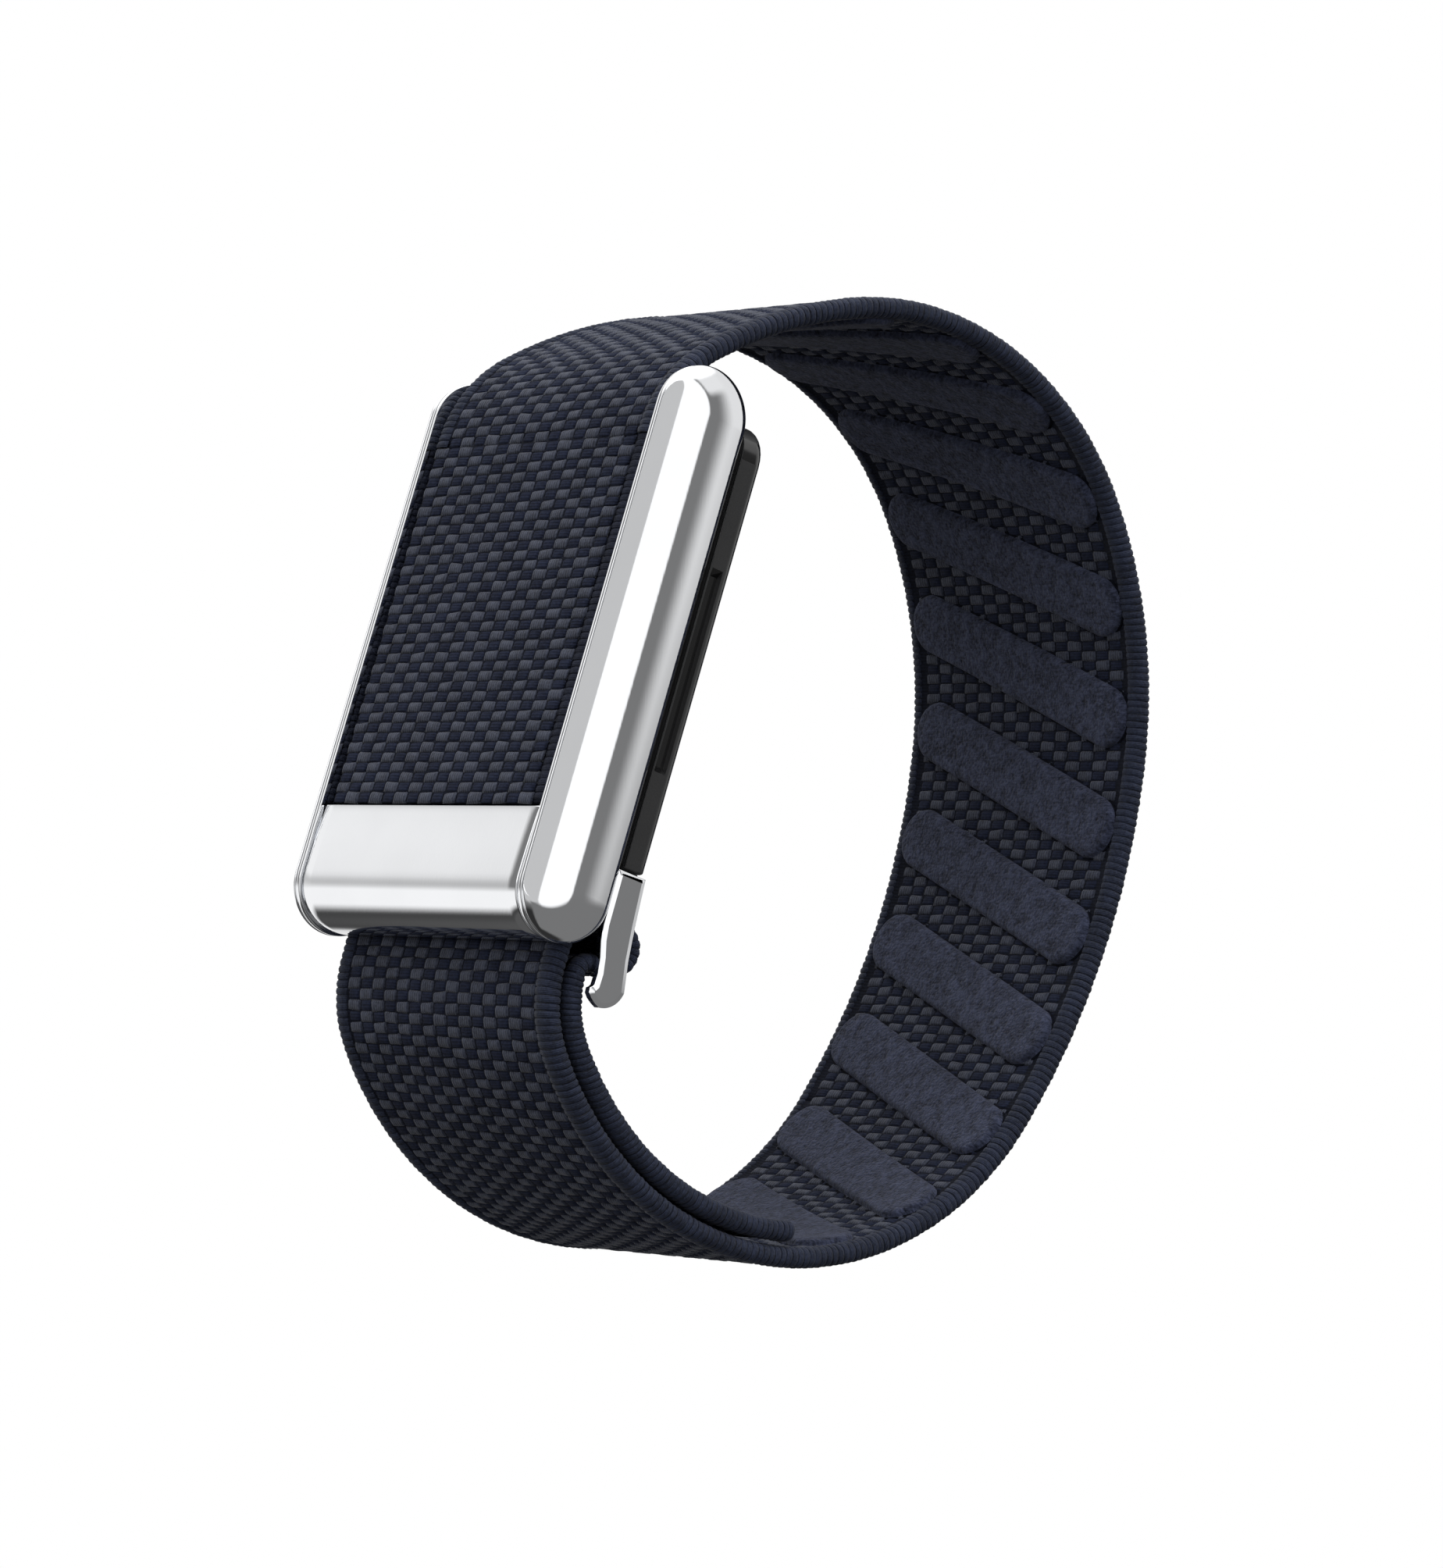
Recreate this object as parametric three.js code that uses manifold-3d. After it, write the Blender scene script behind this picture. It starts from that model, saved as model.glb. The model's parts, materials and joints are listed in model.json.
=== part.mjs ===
// Fitness tracker band: a sensor pod held in a bright metal clasp on a knitted strap loop.
//
// Everything is laid out in the clasp's own frame, which leans back with the clasp: z runs up
// the clasp towards its hinge, y runs from the front (negative) to the wrist (positive), and x
// runs across the band. The whole group is then tilted and centred on its overall box, so that
// in the finished part +Z is up, -Y is the clasp's side and X is the band's width.
// Lengths are millimetres.

import * as THREE from "three";
import { mergeVertices } from "three/addons/utils/BufferGeometryUtils.js";
import Module from "manifold-3d";

const wasm = await Module();
wasm.setup();

const degrees = THREE.MathUtils.degToRad;

// ---------------------------------------------------------------- driving dimensions

const CLASP_TILT = 19.3; // degrees that the clasp leans back
const SEAM = 0.3; // gap left between pieces that touch
const FIT = 0.05; // radial clearance of the turning hinge

const STRAP_WIDTH = 24.5;
const STRAP_THICKNESS = 1.4;
const FOLD_THICKNESS = 1.1; // where the strap is drawn tight round the hook's bar
const LAYER_GAP = 0.25; // between the strap's two layers
const STRAP_PULL = 0.25; // how far the rising layer is pulled in towards the bar

const CHEEK_LENGTH = 38;
const CLASP_ROOM = 5.2; // the cheeks' depth behind the strap's thickness
const CHEEK_THICKNESS = 1.85;
const CLASP_FRONT = -21.3; // the cheeks' front edge
const CLASP_TOP = 21.4;
const PANEL_DROP = 5.1; // from the cheeks' top to where the strap leaves the clasp's front
const COVER_HEIGHT = 7.85; // the lower cover bar, from the cheeks' foot to its upper edge
const COVER_CLEARANCE = 0.17; // between the cover bar's lip and the rising strap
const COVER_WALL = 1;
const COVER_RECESS = 0.1; // how far the bar lies below the cheeks' edge
const PANEL_RECESS = 0.3; // how far the knit lies below the cheeks' edge
const TONGUE_THICKNESS = 0.7; // the strap's pressed end under the cover bar
const TONGUE_LENGTH = 3.6;
const STRIP_THICKNESS = 0.5;

const HINGE_PIN_RADIUS = 0.6;
const KNUCKLE_WALL = 0.5;
const KNUCKLE_WIDTH = 18;
const BRACKET_LAP = 1.4; // how far the hinge bracket reaches down past the front case's top
const PLATE_THICKNESS = 0.6;
const CARRIER_LEG = 0.9; // the carrier's two legs pass beside the clamp strip

const POD_OVERHANG = 0.7; // how far the rear case stands out past the strap, each side
const POD_DROP = 2; // from the cheeks' top to the pod's top
const REAR_CASE_DEPTH = 1.8;
const CASE_PROUD = 0.35; // how far the front case stands out behind the cheeks
const CASE_WALL = 0.8;
const CASE_CORNER = 2.6;
const CASE_EASE = 0.6; // bevel round the rear case
const SEAL_DEPTH = 0.5;
const SEAL_WIDTH = 0.5;
const SHOULDER_RISE = 6; // from the cheeks' foot to where the pod narrows between the arms
const POD_TONGUE = 1.6; // the narrow end below the shoulder
const WINDOW_SIZE = 15;
const WINDOW_HEIGHT = 4; // its middle
const WINDOW_STAND = 1.6; // how far the sensor window stands out of the case
const BOARD_SINK = 1.4; // from the rear case's inner face to the sensor board
const BOARD_THICKNESS = 0.5;
const BOARD_MARGIN = 0.5; // the sensor board's sides lie this far inside the window's
const EMITTER_DEPTH = 0.5;
const BARRIER_MARGIN = 1.3; // the light barrier's sides lie this far inside the window's
const BARRIER_DEPTH = 0.9;
// Shares of the light barrier's size, and of the window's for what emits and senses light.
const BARRIER = { pitch: 0.347, opening: 0.29 };
const LIGHT = { led: 0.1, infrared: 0.09, diode: 0.16, ledPitch: 1.02, diodePitch: 1.03 };
// Shares of the gap from the front case's floor to the sensor board.
const STACK = { film: 0.06, cell: 0.75, boardFrom: 0.17, board: 0.26, gap: 0.07, chip: 0.26, motor: 0.53 };
// Shares of the pod's room, across and up.
const ROOM = { cellWidth: 0.73, filmWidth: 0.88, boardWidth: 0.93, margin: 0.026, cellHeight: 0.557 };
const CHIP_SIZE = 5;
const CHIP_SHIFT = -0.13; // shares of the room's width
const MOTOR_SHIFT = 0.28;
const MOTOR_RADIUS = 1.8;
const GROOVE_DEPTH = 0.45; // the long groove in each side of the front case
const GROOVE_WIDTH = 1.6;
const GROOVE_RIM = 0.7; // between the groove and the front case's open edge
const GROOVE_BOTTOM = -4;
const GROOVE_TOP = 9.5;
const CONTACT_CLEARANCE = 0.15; // between a charging contact and its groove

const BAR_RADIUS = 0.55; // the hook's crossbar
const BAR_RISE = 1.35; // from the cheeks' foot up to the crossbar's axis
const BAR_AHEAD = 0.05; // from the pod's back forward to the crossbar's axis
const ARM_THICKNESS = 0.65;
const HOOK_WALL = 0.5;
const ARM_STEP = 0.1; // how much deeper the arms are than the rear case
const WALL_STEP = 0.4; // how far the hook's cross wall stops short of the pod's back
const PLAY = 0.05; // how far the arms stand out past the pod's back
const LAP = 0.01; // overlap that joins the cross wall to the arms
const LEDGE = { width: 8, depth: 0.8, height: 0.6, behind: 0.5 }; // behind the carrier's front
const LEAF = { width: 10, depth: 1.9, height: 0.3, ahead: 0.35 }; // ahead of the carrier's front
const HOOK_DROP = 2.75; // from the cheeks' foot down to the arms' foot
// An arm's front edge, down from its top, and its rounded foot, up from its bottom: how far
// back from its front it lies, and the height.
const ARM_NECK = [[0, 0], [0.05, 4], [0.5, 5.3], [0.8, 6.7]];
const ARM_FOOT = [[0.55, 0.75], [0.75, 0.25], [1.25, 0], [1.8, 0.15], [2.4, 0.75], [2.6, 1.65]];
const ARM_HIP = { behind: 0.45, drop: 0.6 }; // its back at the bar's height
const ARM_WAIST = { behind: 0.15, drop: 2.6 }; // its back below its top

const PAD_COUNT = 12;
const PAD_WIDTH = 4.2;
const PAD_MARGIN = 1.05; // from a pad's end to the strap's edge
const PAD_THICKNESS = 0.4;
const PAD_SKEW = 6.6; // how much lower a pad's near end is than its far end
const PAD_SEAT = 0.12;

// The strap's loop, from the top of the front panel over the wrist and back up to the hook, as
// the outer surface's tangent arcs: radius and turn. The two arcs with no radius are worked out
// so that the loop closes on the hook, and the last one's turn completes the circle.
const LOOP_ARCS = [
  { name: "bend", radius: 10, turn: 45 },
  { name: "crown", radius: 34, turn: 21 },
  { name: "shoulder", radius: 21.2, turn: 72 },
  { name: "upper_back", radius: 32, turn: 31 },
  { name: "lower_back", turn: 29 },
  { name: "base", turn: 120.5 },
  { name: "rise", radius: 9 },
];
const RISE_STRAIGHT = 2.1; // the last run before the strap folds over the bar
const FOLD_CORNER = 1.5; // radius at which it turns towards the bar
const TAIL_CORNER = 1; // radius at which the tail turns down again
const HINGE_SPAN = 11.4; // length of strap that bends when the clasp opens
const PAD_START = 18.2; // first pad's middle, along the loop
const TAIL_LENGTH = 29.2; // of the tail that lies inside the loop
const PATCH_LENGTH = 3; // the tail's sewn end
const PAD_END_GAP = 8.1; // last pad's middle to the tail's end

// ---------------------------------------------------------------- finishes

function finish(color, roughness, metalness) {
  return new THREE.MeshStandardMaterial({ color, roughness, metalness });
}

const KNIT = finish(0x1b2033, 0.9, 0);
const PAD_FELT = finish(0x202539, 0.95, 0);
const CHROME = finish(0xd9dadc, 0.12, 1);
const STEEL = finish(0x8f9193, 0.35, 1);
const CASE_BLACK = finish(0x232324, 0.4, 0);
const GLOSS_BLACK = finish(0x08080a, 0.12, 0);
const RUBBER = finish(0x161617, 0.8, 0);
const BOARD = finish(0x14401f, 0.5, 0);
const CELL = finish(0xa7abb0, 0.35, 0.8);
const LED_LENS = finish(0xc9f2d2, 0.2, 0);
const SENSOR = finish(0x2b1f3c, 0.2, 0.1);
const CHIP = finish(0x1c1c1f, 0.55, 0);
const GOLD = finish(0xcaa24a, 0.25, 1);
const COPPER_FILM = finish(0xb06a35, 0.45, 0.6);

// ---------------------------------------------------------------- geometry helpers

// A shape drawn in (y, z) and extruded across the band from x0 to x1.
function across(points, x0, x1) {
  const shape = new THREE.Shape(points.map(([y, z]) => new THREE.Vector2(y, z)));
  const geometry = new THREE.ExtrudeGeometry(shape, { depth: x1 - x0, bevelEnabled: false });
  const toBand = new THREE.Matrix4().makeBasis(
    new THREE.Vector3(0, 1, 0),
    new THREE.Vector3(0, 0, 1),
    new THREE.Vector3(1, 0, 0),
  );
  return geometry.applyMatrix4(toBand).translate(x0, 0, 0);
}

// A shape drawn in (x, z) and extruded from its wrist side, at backY, towards the front.
function forward(shape, backY, depth, bevel = 0) {
  const geometry = new THREE.ExtrudeGeometry(shape, {
    depth: depth - 2 * bevel,
    bevelEnabled: bevel > 0,
    bevelThickness: bevel,
    bevelSize: bevel,
    bevelOffset: -bevel,
    bevelSegments: 2,
    curveSegments: 6,
  });
  return geometry.rotateX(Math.PI / 2).translate(0, backY - bevel, 0);
}

function roundedShape(x0, x1, z0, z1, radius) {
  const shape = new THREE.Shape();
  shape.moveTo(x0 + radius, z0);
  shape.lineTo(x1 - radius, z0);
  shape.absarc(x1 - radius, z0 + radius, radius, -Math.PI / 2, 0, false);
  shape.lineTo(x1, z1 - radius);
  shape.absarc(x1 - radius, z1 - radius, radius, 0, Math.PI / 2, false);
  shape.lineTo(x0 + radius, z1);
  shape.absarc(x0 + radius, z1 - radius, radius, Math.PI / 2, Math.PI, false);
  shape.lineTo(x0, z0 + radius);
  shape.absarc(x0 + radius, z0 + radius, radius, Math.PI, 1.5 * Math.PI, false);
  return shape;
}

// A plate with round corners, centred on x and z, whose wrist side is at backY.
function plate(width, height, z, backY, depth, radius, bevel = 0, x = 0) {
  const outline = roundedShape(x - width / 2, x + width / 2, z - height / 2, z + height / 2, radius);
  return forward(outline, backY, depth, bevel);
}

function box(width, depth, height, x, y, z) {
  return new THREE.BoxGeometry(width, depth, height).translate(x, y, z);
}

// A box that is centred across the band and spans y0 to y1 and z0 to z1.
function span(width, y0, y1, z0, z1) {
  return box(width, y1 - y0, z1 - z0, 0, (y0 + y1) / 2, (z0 + z1) / 2);
}

// A round rod across the band.
function rod(radius, x0, x1, y, z, sides = 24) {
  const geometry = new THREE.CylinderGeometry(radius, radius, x1 - x0, sides);
  return geometry.rotateZ(-Math.PI / 2).translate((x0 + x1) / 2, y, z);
}

function solid(geometry) {
  const bare = geometry.index ? geometry.toNonIndexed() : geometry.clone();
  bare.deleteAttribute("normal");
  bare.deleteAttribute("uv");
  const merged = mergeVertices(bare, 1e-4);
  return new wasm.Manifold(
    new wasm.Mesh({
      numProp: 3,
      vertProperties: merged.attributes.position.array,
      triVerts: new Uint32Array(merged.index.array),
    }),
  );
}

function geometryOf(manifold) {
  const mesh = manifold.getMesh();
  const geometry = new THREE.BufferGeometry();
  geometry.setAttribute("position", new THREE.BufferAttribute(mesh.vertProperties.slice(), 3));
  geometry.setIndex(new THREE.BufferAttribute(mesh.triVerts.slice(), 1));
  geometry.computeVertexNormals();
  return geometry;
}

function cut(body, ...tools) {
  return geometryOf(tools.reduce((left, tool) => left.subtract(solid(tool)), solid(body)));
}

function join(...bodies) {
  return geometryOf(bodies.map(solid).reduce((left, right) => left.add(right)));
}

// A closed slab between two grids of points: pointAt(i, j, face) with face 0 and 1.
function slab(columns, rows, pointAt) {
  const positions = [];
  const index = [];
  for (const face of [0, 1])
    for (let i = 0; i <= columns; i++)
      for (let j = 0; j <= rows; j++) positions.push(...pointAt(i, j, face));
  const at = (i, j, face) => face * (columns + 1) * (rows + 1) + i * (rows + 1) + j;
  const quad = (a, b, c, d) => index.push(a, c, b, a, d, c);
  for (let i = 0; i < columns; i++)
    for (let j = 0; j < rows; j++) {
      quad(at(i, j, 0), at(i, j + 1, 0), at(i + 1, j + 1, 0), at(i + 1, j, 0));
      quad(at(i, j, 1), at(i + 1, j, 1), at(i + 1, j + 1, 1), at(i, j + 1, 1));
    }
  for (let i = 0; i < columns; i++) {
    quad(at(i, 0, 0), at(i + 1, 0, 0), at(i + 1, 0, 1), at(i, 0, 1));
    quad(at(i + 1, rows, 0), at(i, rows, 0), at(i, rows, 1), at(i + 1, rows, 1));
  }
  for (let j = 0; j < rows; j++) {
    quad(at(0, j + 1, 0), at(0, j, 0), at(0, j, 1), at(0, j + 1, 1));
    quad(at(columns, j, 0), at(columns, j + 1, 0), at(columns, j + 1, 1), at(columns, j, 1));
  }
  const geometry = new THREE.BufferGeometry();
  geometry.setAttribute("position", new THREE.Float32BufferAttribute(positions, 3));
  geometry.setIndex(index);
  geometry.computeVertexNormals();
  return geometry;
}

// Rings of points with equal counts, joined and closed by a fan at each end.
function loft(rings) {
  const sides = rings[0].length;
  const positions = rings.flat(2);
  const index = [];
  for (let r = 0; r < rings.length - 1; r++)
    for (let k = 0; k < sides; k++) {
      const next = (k + 1) % sides;
      const [a, b, c, d] = [r * sides + k, r * sides + next, (r + 1) * sides + next, (r + 1) * sides + k];
      index.push(a, b, c, a, c, d);
    }
  const last = (rings.length - 1) * sides;
  for (let k = 1; k < sides - 1; k++) {
    index.push(0, k + 1, k);
    index.push(last, last + k, last + k + 1);
  }
  const geometry = new THREE.BufferGeometry();
  geometry.setAttribute("position", new THREE.Float32BufferAttribute(positions, 3));
  geometry.setIndex(index);
  geometry.computeVertexNormals();
  return geometry;
}

// ---------------------------------------------------------------- derived places

const cheekRadius = (STRAP_THICKNESS + CLASP_ROOM) / 2;
const innerFace = STRAP_WIDTH / 2 + SEAM; // the cheeks' inner faces
const outerFace = innerFace + CHEEK_THICKNESS;
const claspMiddleY = CLASP_FRONT + cheekRadius;
const claspBottom = CLASP_TOP - CHEEK_LENGTH;
const hinge = { y: claspMiddleY, z: CLASP_TOP - cheekRadius };
const lowerRound = { y: claspMiddleY, z: claspBottom + cheekRadius };
const spanHalf = innerFace - SEAM; // half the length of what fits between the cheeks

const panelFront = CLASP_FRONT + PANEL_RECESS;
const panelBack = panelFront + STRAP_THICKNESS;
const panelTop = CLASP_TOP - PANEL_DROP;
const coverTop = claspBottom + COVER_HEIGHT;
const panelBottom = coverTop + SEAM;
const coverFront = CLASP_FRONT + COVER_RECESS;
const coverBack = coverFront + COVER_WALL;
const tongueFront = coverBack + SEAM;
const tongueBack = tongueFront + TONGUE_THICKNESS;

// From the tongue to the wrist: the carrier's plate, the front case and the rear case.
const plateFront = tongueBack + SEAM / 2;
const plateBack = plateFront + PLATE_THICKNESS;
const podFront = plateBack + SEAM;
const frontCaseBack = CLASP_FRONT + 2 * cheekRadius + CASE_PROUD;
const frontCaseDepth = frontCaseBack - podFront;
const rearInner = frontCaseBack + SEAM / 2; // the rear case's open side
const podBack = rearInner + REAR_CASE_DEPTH;

const knuckleRadius = HINGE_PIN_RADIUS + FIT + KNUCKLE_WALL;
const podWidth = STRAP_WIDTH + 2 * POD_OVERHANG;
const podTop = CLASP_TOP - POD_DROP;
const shoulderHeight = claspBottom + SHOULDER_RISE;
const podBottom = shoulderHeight - POD_TONGUE;
const narrowHalf = STRAP_WIDTH / 2 - SEAM / 2; // the pod's half width between the cheeks
const carrierHalf = narrowHalf - SEAM;
const frontCaseTop = hinge.z - knuckleRadius - 2 * SEAM;

const armInner = STRAP_WIDTH / 2 + 0.4 * SEAM;
const armOuter = armInner + ARM_THICKNESS;
const armTop = shoulderHeight - SEAM;
const hookBottom = claspBottom - HOOK_DROP;
const bar = { y: podBack - BAR_AHEAD, z: claspBottom + BAR_RISE };
const padLength = STRAP_WIDTH - 2 * PAD_MARGIN;

const foldRadius = BAR_RADIUS + LAYER_GAP + FOLD_THICKNESS / 2;
const riseY = bar.y - 2 * foldRadius - STRAP_THICKNESS + STRAP_PULL; // middle of the rising layer
const riseTop = bar.z + foldRadius - FOLD_CORNER;
const tailY = riseY + STRAP_THICKNESS + LAYER_GAP;

// ---------------------------------------------------------------- the strap's path

// A path in (y, z) made of straight runs and arcs that meet tangentially. A positive turn bends
// the path clockwise, towards the wrist.
class StrapPath {
  constructor(start, heading, runs) {
    this.pieces = [];
    let [y, z] = start;
    let direction = heading;
    let from = 0;
    for (const { length = 0, radius = 0, turn = 0 } of runs) {
      const span = radius ? radius * Math.abs(turn) : length;
      this.pieces.push({ from, span, y, z, direction, radius, sign: Math.sign(turn) });
      [y, z, direction] = StrapPath.advance(this.pieces.at(-1), span);
      from += span;
    }
    this.length = from;
  }

  static advance({ y, z, direction, radius, sign }, distance) {
    if (!radius) return [y + distance * Math.cos(direction), z + distance * Math.sin(direction), direction];
    const after = direction - (sign * distance) / radius;
    const reach = sign * radius;
    return [
      y + reach * (Math.sin(direction) - Math.sin(after)),
      z + reach * (Math.cos(after) - Math.cos(direction)),
      after,
    ];
  }

  // The point at a distance along the path and an offset to its outer side.
  at(distance, offset = 0) {
    const piece = this.pieces.findLast((one) => one.from <= distance) ?? this.pieces[0];
    const [y, z, direction] = StrapPath.advance(piece, distance - piece.from);
    return [y - offset * Math.sin(direction), z + offset * Math.cos(direction)];
  }

  stations(from, to) {
    const marks = [from];
    for (const { from: begin, span, radius } of this.pieces) {
      const low = Math.max(begin, from);
      const high = Math.min(begin + span, to);
      if (high - low < 1e-6) continue;
      const step = radius ? Math.min(2.6, 0.3 * radius) : 30;
      const count = Math.ceil((high - low) / step);
      for (let k = 1; k <= count; k++) marks.push(low + ((high - low) * k) / count);
    }
    return marks;
  }

  // The outline of a ribbon between two distances, with its two faces at the given offsets.
  ribbon(from, to, inner, outer) {
    const marks = this.stations(from, to);
    const outside = marks.map((s) => this.at(s, outer));
    const inside = marks.map((s) => this.at(s, inner)).reverse();
    return [...outside, ...inside];
  }
}

// The middle of the strap's thickness follows the loop. The two free radii solve a 2 by 2 set.
function loopRuns() {
  const half = STRAP_THICKNESS / 2;
  const turned = LOOP_ARCS.reduce((sum, { turn = 0 }) => sum + turn, 0);
  let direction = Math.PI / 2;
  const gap = [riseY - (panelFront + half), riseTop - RISE_STRAIGHT - panelTop];
  const free = [];
  const runs = LOOP_ARCS.map(({ name, radius, turn }) => {
    const angle = degrees(turn ?? 360 - turned);
    const after = direction - angle;
    const unit = [Math.sin(direction) - Math.sin(after), Math.cos(after) - Math.cos(direction)];
    direction = after;
    if (radius === undefined) free.push(unit);
    else gap.forEach((value, k) => (gap[k] = value - (radius - half) * unit[k]));
    return { name, radius: radius === undefined ? undefined : radius - half, turn: angle };
  });
  const [[a, c], [b, d]] = free;
  const determinant = a * d - b * c;
  const solved = [(gap[0] * d - gap[1] * b) / determinant, (gap[1] * a - gap[0] * c) / determinant];
  for (const run of runs) run.radius ??= solved.shift();
  return runs;
}

const runs = loopRuns();
const loop = new StrapPath([panelFront + STRAP_THICKNESS / 2, panelTop], Math.PI / 2, runs);
const tailEnd = loop.length - TAIL_LENGTH;

function runEnd(name) {
  const last = runs.findIndex((run) => run.name === name);
  return runs.slice(0, last + 1).reduce((sum, run) => sum + run.radius * run.turn, 0);
}

// ---------------------------------------------------------------- the part

const part = new THREE.Group();
const leaning = new THREE.Group();
leaning.rotation.x = degrees(-CLASP_TILT);
part.add(leaning);

function add(name, geometry, material) {
  const mesh = new THREE.Mesh(geometry, material);
  mesh.name = name;
  leaning.add(mesh);
}

// ---- strap

const strapHalf = STRAP_WIDTH / 2;
const strapFace = STRAP_THICKNESS / 2;
const FOLD_JOINT = 0.15; // half the gap between two lengths of strap

function addStrapLength(name, from, to) {
  const outline = loop.ribbon(from + FOLD_JOINT, to - FOLD_JOINT, -strapFace, strapFace);
  add(name, across(outline, -strapHalf, strapHalf), KNIT);
}

function addLoop() {
  const shoulderEnd = runEnd("shoulder");
  const crownEnd = runEnd("crown");
  const backEnd = runEnd("lower_back");
  const baseEnd = runEnd("base");
  addStrapLength("strap_over_hinge", 0, HINGE_SPAN);
  addStrapLength("strap_crown", HINGE_SPAN, crownEnd);
  addStrapLength("strap_shoulder", crownEnd, shoulderEnd);
  addStrapLength("strap_back", shoulderEnd, backEnd);
  addStrapLength("strap_base_rear", backEnd, (backEnd + baseEnd) / 2);
  addStrapLength("strap_base_front", (backEnd + baseEnd) / 2, baseEnd);
  addStrapLength("strap_rise", baseEnd, loop.length);
}

// The strap goes over the hook's bar and comes back under it, pressed thinner by the pull.
function addHookFold() {
  const quarter = Math.PI / 2;
  const topRun = bar.y - (riseY + FOLD_CORNER);
  const underRun = bar.y - (tailY + TAIL_CORNER);
  const fold = new StrapPath([riseY, riseTop - RISE_STRAIGHT + SEAM], quarter, [
    { length: RISE_STRAIGHT - SEAM },
    { radius: FOLD_CORNER, turn: quarter },
    { length: topRun },
    { radius: foldRadius, turn: 2 * quarter },
    { length: underRun },
    { radius: TAIL_CORNER, turn: -quarter },
  ]);
  const face = FOLD_THICKNESS / 2;
  add("strap_hook_fold", across(fold.ribbon(0, fold.length, -face, face), -strapHalf, strapHalf), KNIT);
}

// The tail lies inside the outer layer and ends, cut square and sewn, at the bottom of the loop.
function addTail() {
  const inner = -(strapFace + LAYER_GAP + STRAP_THICKNESS);
  const outer = -(strapFace + LAYER_GAP);
  const baseEnd = runEnd("base");
  const patch = tailEnd + PATCH_LENGTH;
  const upper = loop.ribbon(baseEnd, loop.length - SEAM, inner, outer);
  const lower = loop.ribbon(patch + SEAM, baseEnd - SEAM, inner, outer);
  add("strap_tail_upper", across(upper, -strapHalf, strapHalf), KNIT);
  add("strap_tail_lower", across(lower, -strapHalf, strapHalf), KNIT);
  const end = loop.ribbon(tailEnd, patch, inner, outer);
  add("tail_end_binding", across(end, -strapHalf, strapHalf), KNIT);
}

// Each grip pad is a slanted strip with round ends, bonded to the strap's inner face.
function addPads() {
  const pitch = (tailEnd - PAD_END_GAP - PAD_START) / (PAD_COUNT - 1);
  const slant = Math.atan2(PAD_SKEW, padLength - PAD_WIDTH);
  const half = Math.hypot(PAD_SKEW, padLength - PAD_WIDTH) / 2 + PAD_WIDTH / 2;
  const round = PAD_WIDTH / 2;
  // Stations along a pad: closer together on its round ends, and just short of their tips.
  const farHalf = [0, half / 3, ...[1, 0.5, 0.15, 0.05].map((share) => half - round * share)];
  const alongs = [...farHalf.slice(1).reverse().map((along) => -along), ...farHalf];
  const rows = 3;
  for (let k = 0; k < PAD_COUNT; k++) {
    const middle = PAD_START + pitch * k;
    const pointAt = (i, j, face) => {
      const along = alongs[i];
      const past = Math.max(0, Math.abs(along) - (half - round));
      const side = Math.sqrt(round ** 2 - past ** 2) * ((2 * j) / rows - 1);
      const x = along * Math.cos(slant) - side * Math.sin(slant);
      const s = middle + along * Math.sin(slant) + side * Math.cos(slant);
      const depth = strapFace + PAD_SEAT + (face ? PAD_THICKNESS : 0);
      return [x, ...loop.at(s, -depth)];
    };
    const name = `grip_pad_${String(k + 1).padStart(2, "0")}`;
    add(name, slab(alongs.length - 1, rows, pointAt), PAD_FELT);
  }
}

// The front panel fills the clasp's face. Its lower end is pressed thin and goes under the
// cover bar, where a strip clamps it.
function addFrontPanel() {
  const foot = coverTop - TONGUE_LENGTH;
  const outline = [
    [panelFront, panelTop - FOLD_JOINT],
    [panelFront, panelBottom],
    [tongueFront, panelBottom],
    [tongueFront, foot],
    [tongueBack, foot],
    [tongueBack, panelBottom + SEAM],
    [panelBack, panelBottom + 2 * SEAM],
    [panelBack, panelTop - FOLD_JOINT],
  ];
  add("strap_front_panel", across(outline, -strapHalf, strapHalf), KNIT);
  const stripBack = tongueBack + SEAM / 2 + STRIP_THICKNESS;
  const width = 2 * (carrierHalf - CARRIER_LEG - SEAM);
  const height = TONGUE_LENGTH - 1;
  const strip = plate(width, height, foot + TONGUE_LENGTH / 2, stripBack, STRIP_THICKNESS, 0.8);
  add("tongue_clamp_strip", strip, STEEL);
}

// ---- clasp

// The cheek's side outline, drawn in by an inset, at one x.
function stadiumRing(x, inset, segments = 12) {
  const radius = cheekRadius - inset;
  const ring = [];
  for (const [centre, from] of [[hinge, 0], [lowerRound, Math.PI]])
    for (let k = 0; k <= segments; k++) {
      const angle = from + (Math.PI * k) / segments;
      ring.push([x, centre.y + radius * Math.cos(angle), centre.z + radius * Math.sin(angle)]);
    }
  return ring;
}

function addCheeks() {
  const crown = [
    { rise: 0, inset: 0.15 },
    { rise: 0.2, inset: 0 },
    { rise: 0.45, inset: 0 },
    { rise: 0.65, inset: 0.2 },
    { rise: 0.85, inset: 0.75 },
    { rise: 1, inset: 1.7 },
  ];
  for (const [name, side] of [["cheek_left", -1], ["cheek_right", 1]]) {
    const rings = crown.map(({ rise, inset }) => {
      const x = side * (innerFace + rise * CHEEK_THICKNESS);
      return stadiumRing(x, inset);
    });
    add(name, loft(side > 0 ? rings : rings.reverse()), CHROME);
  }
}

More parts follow.
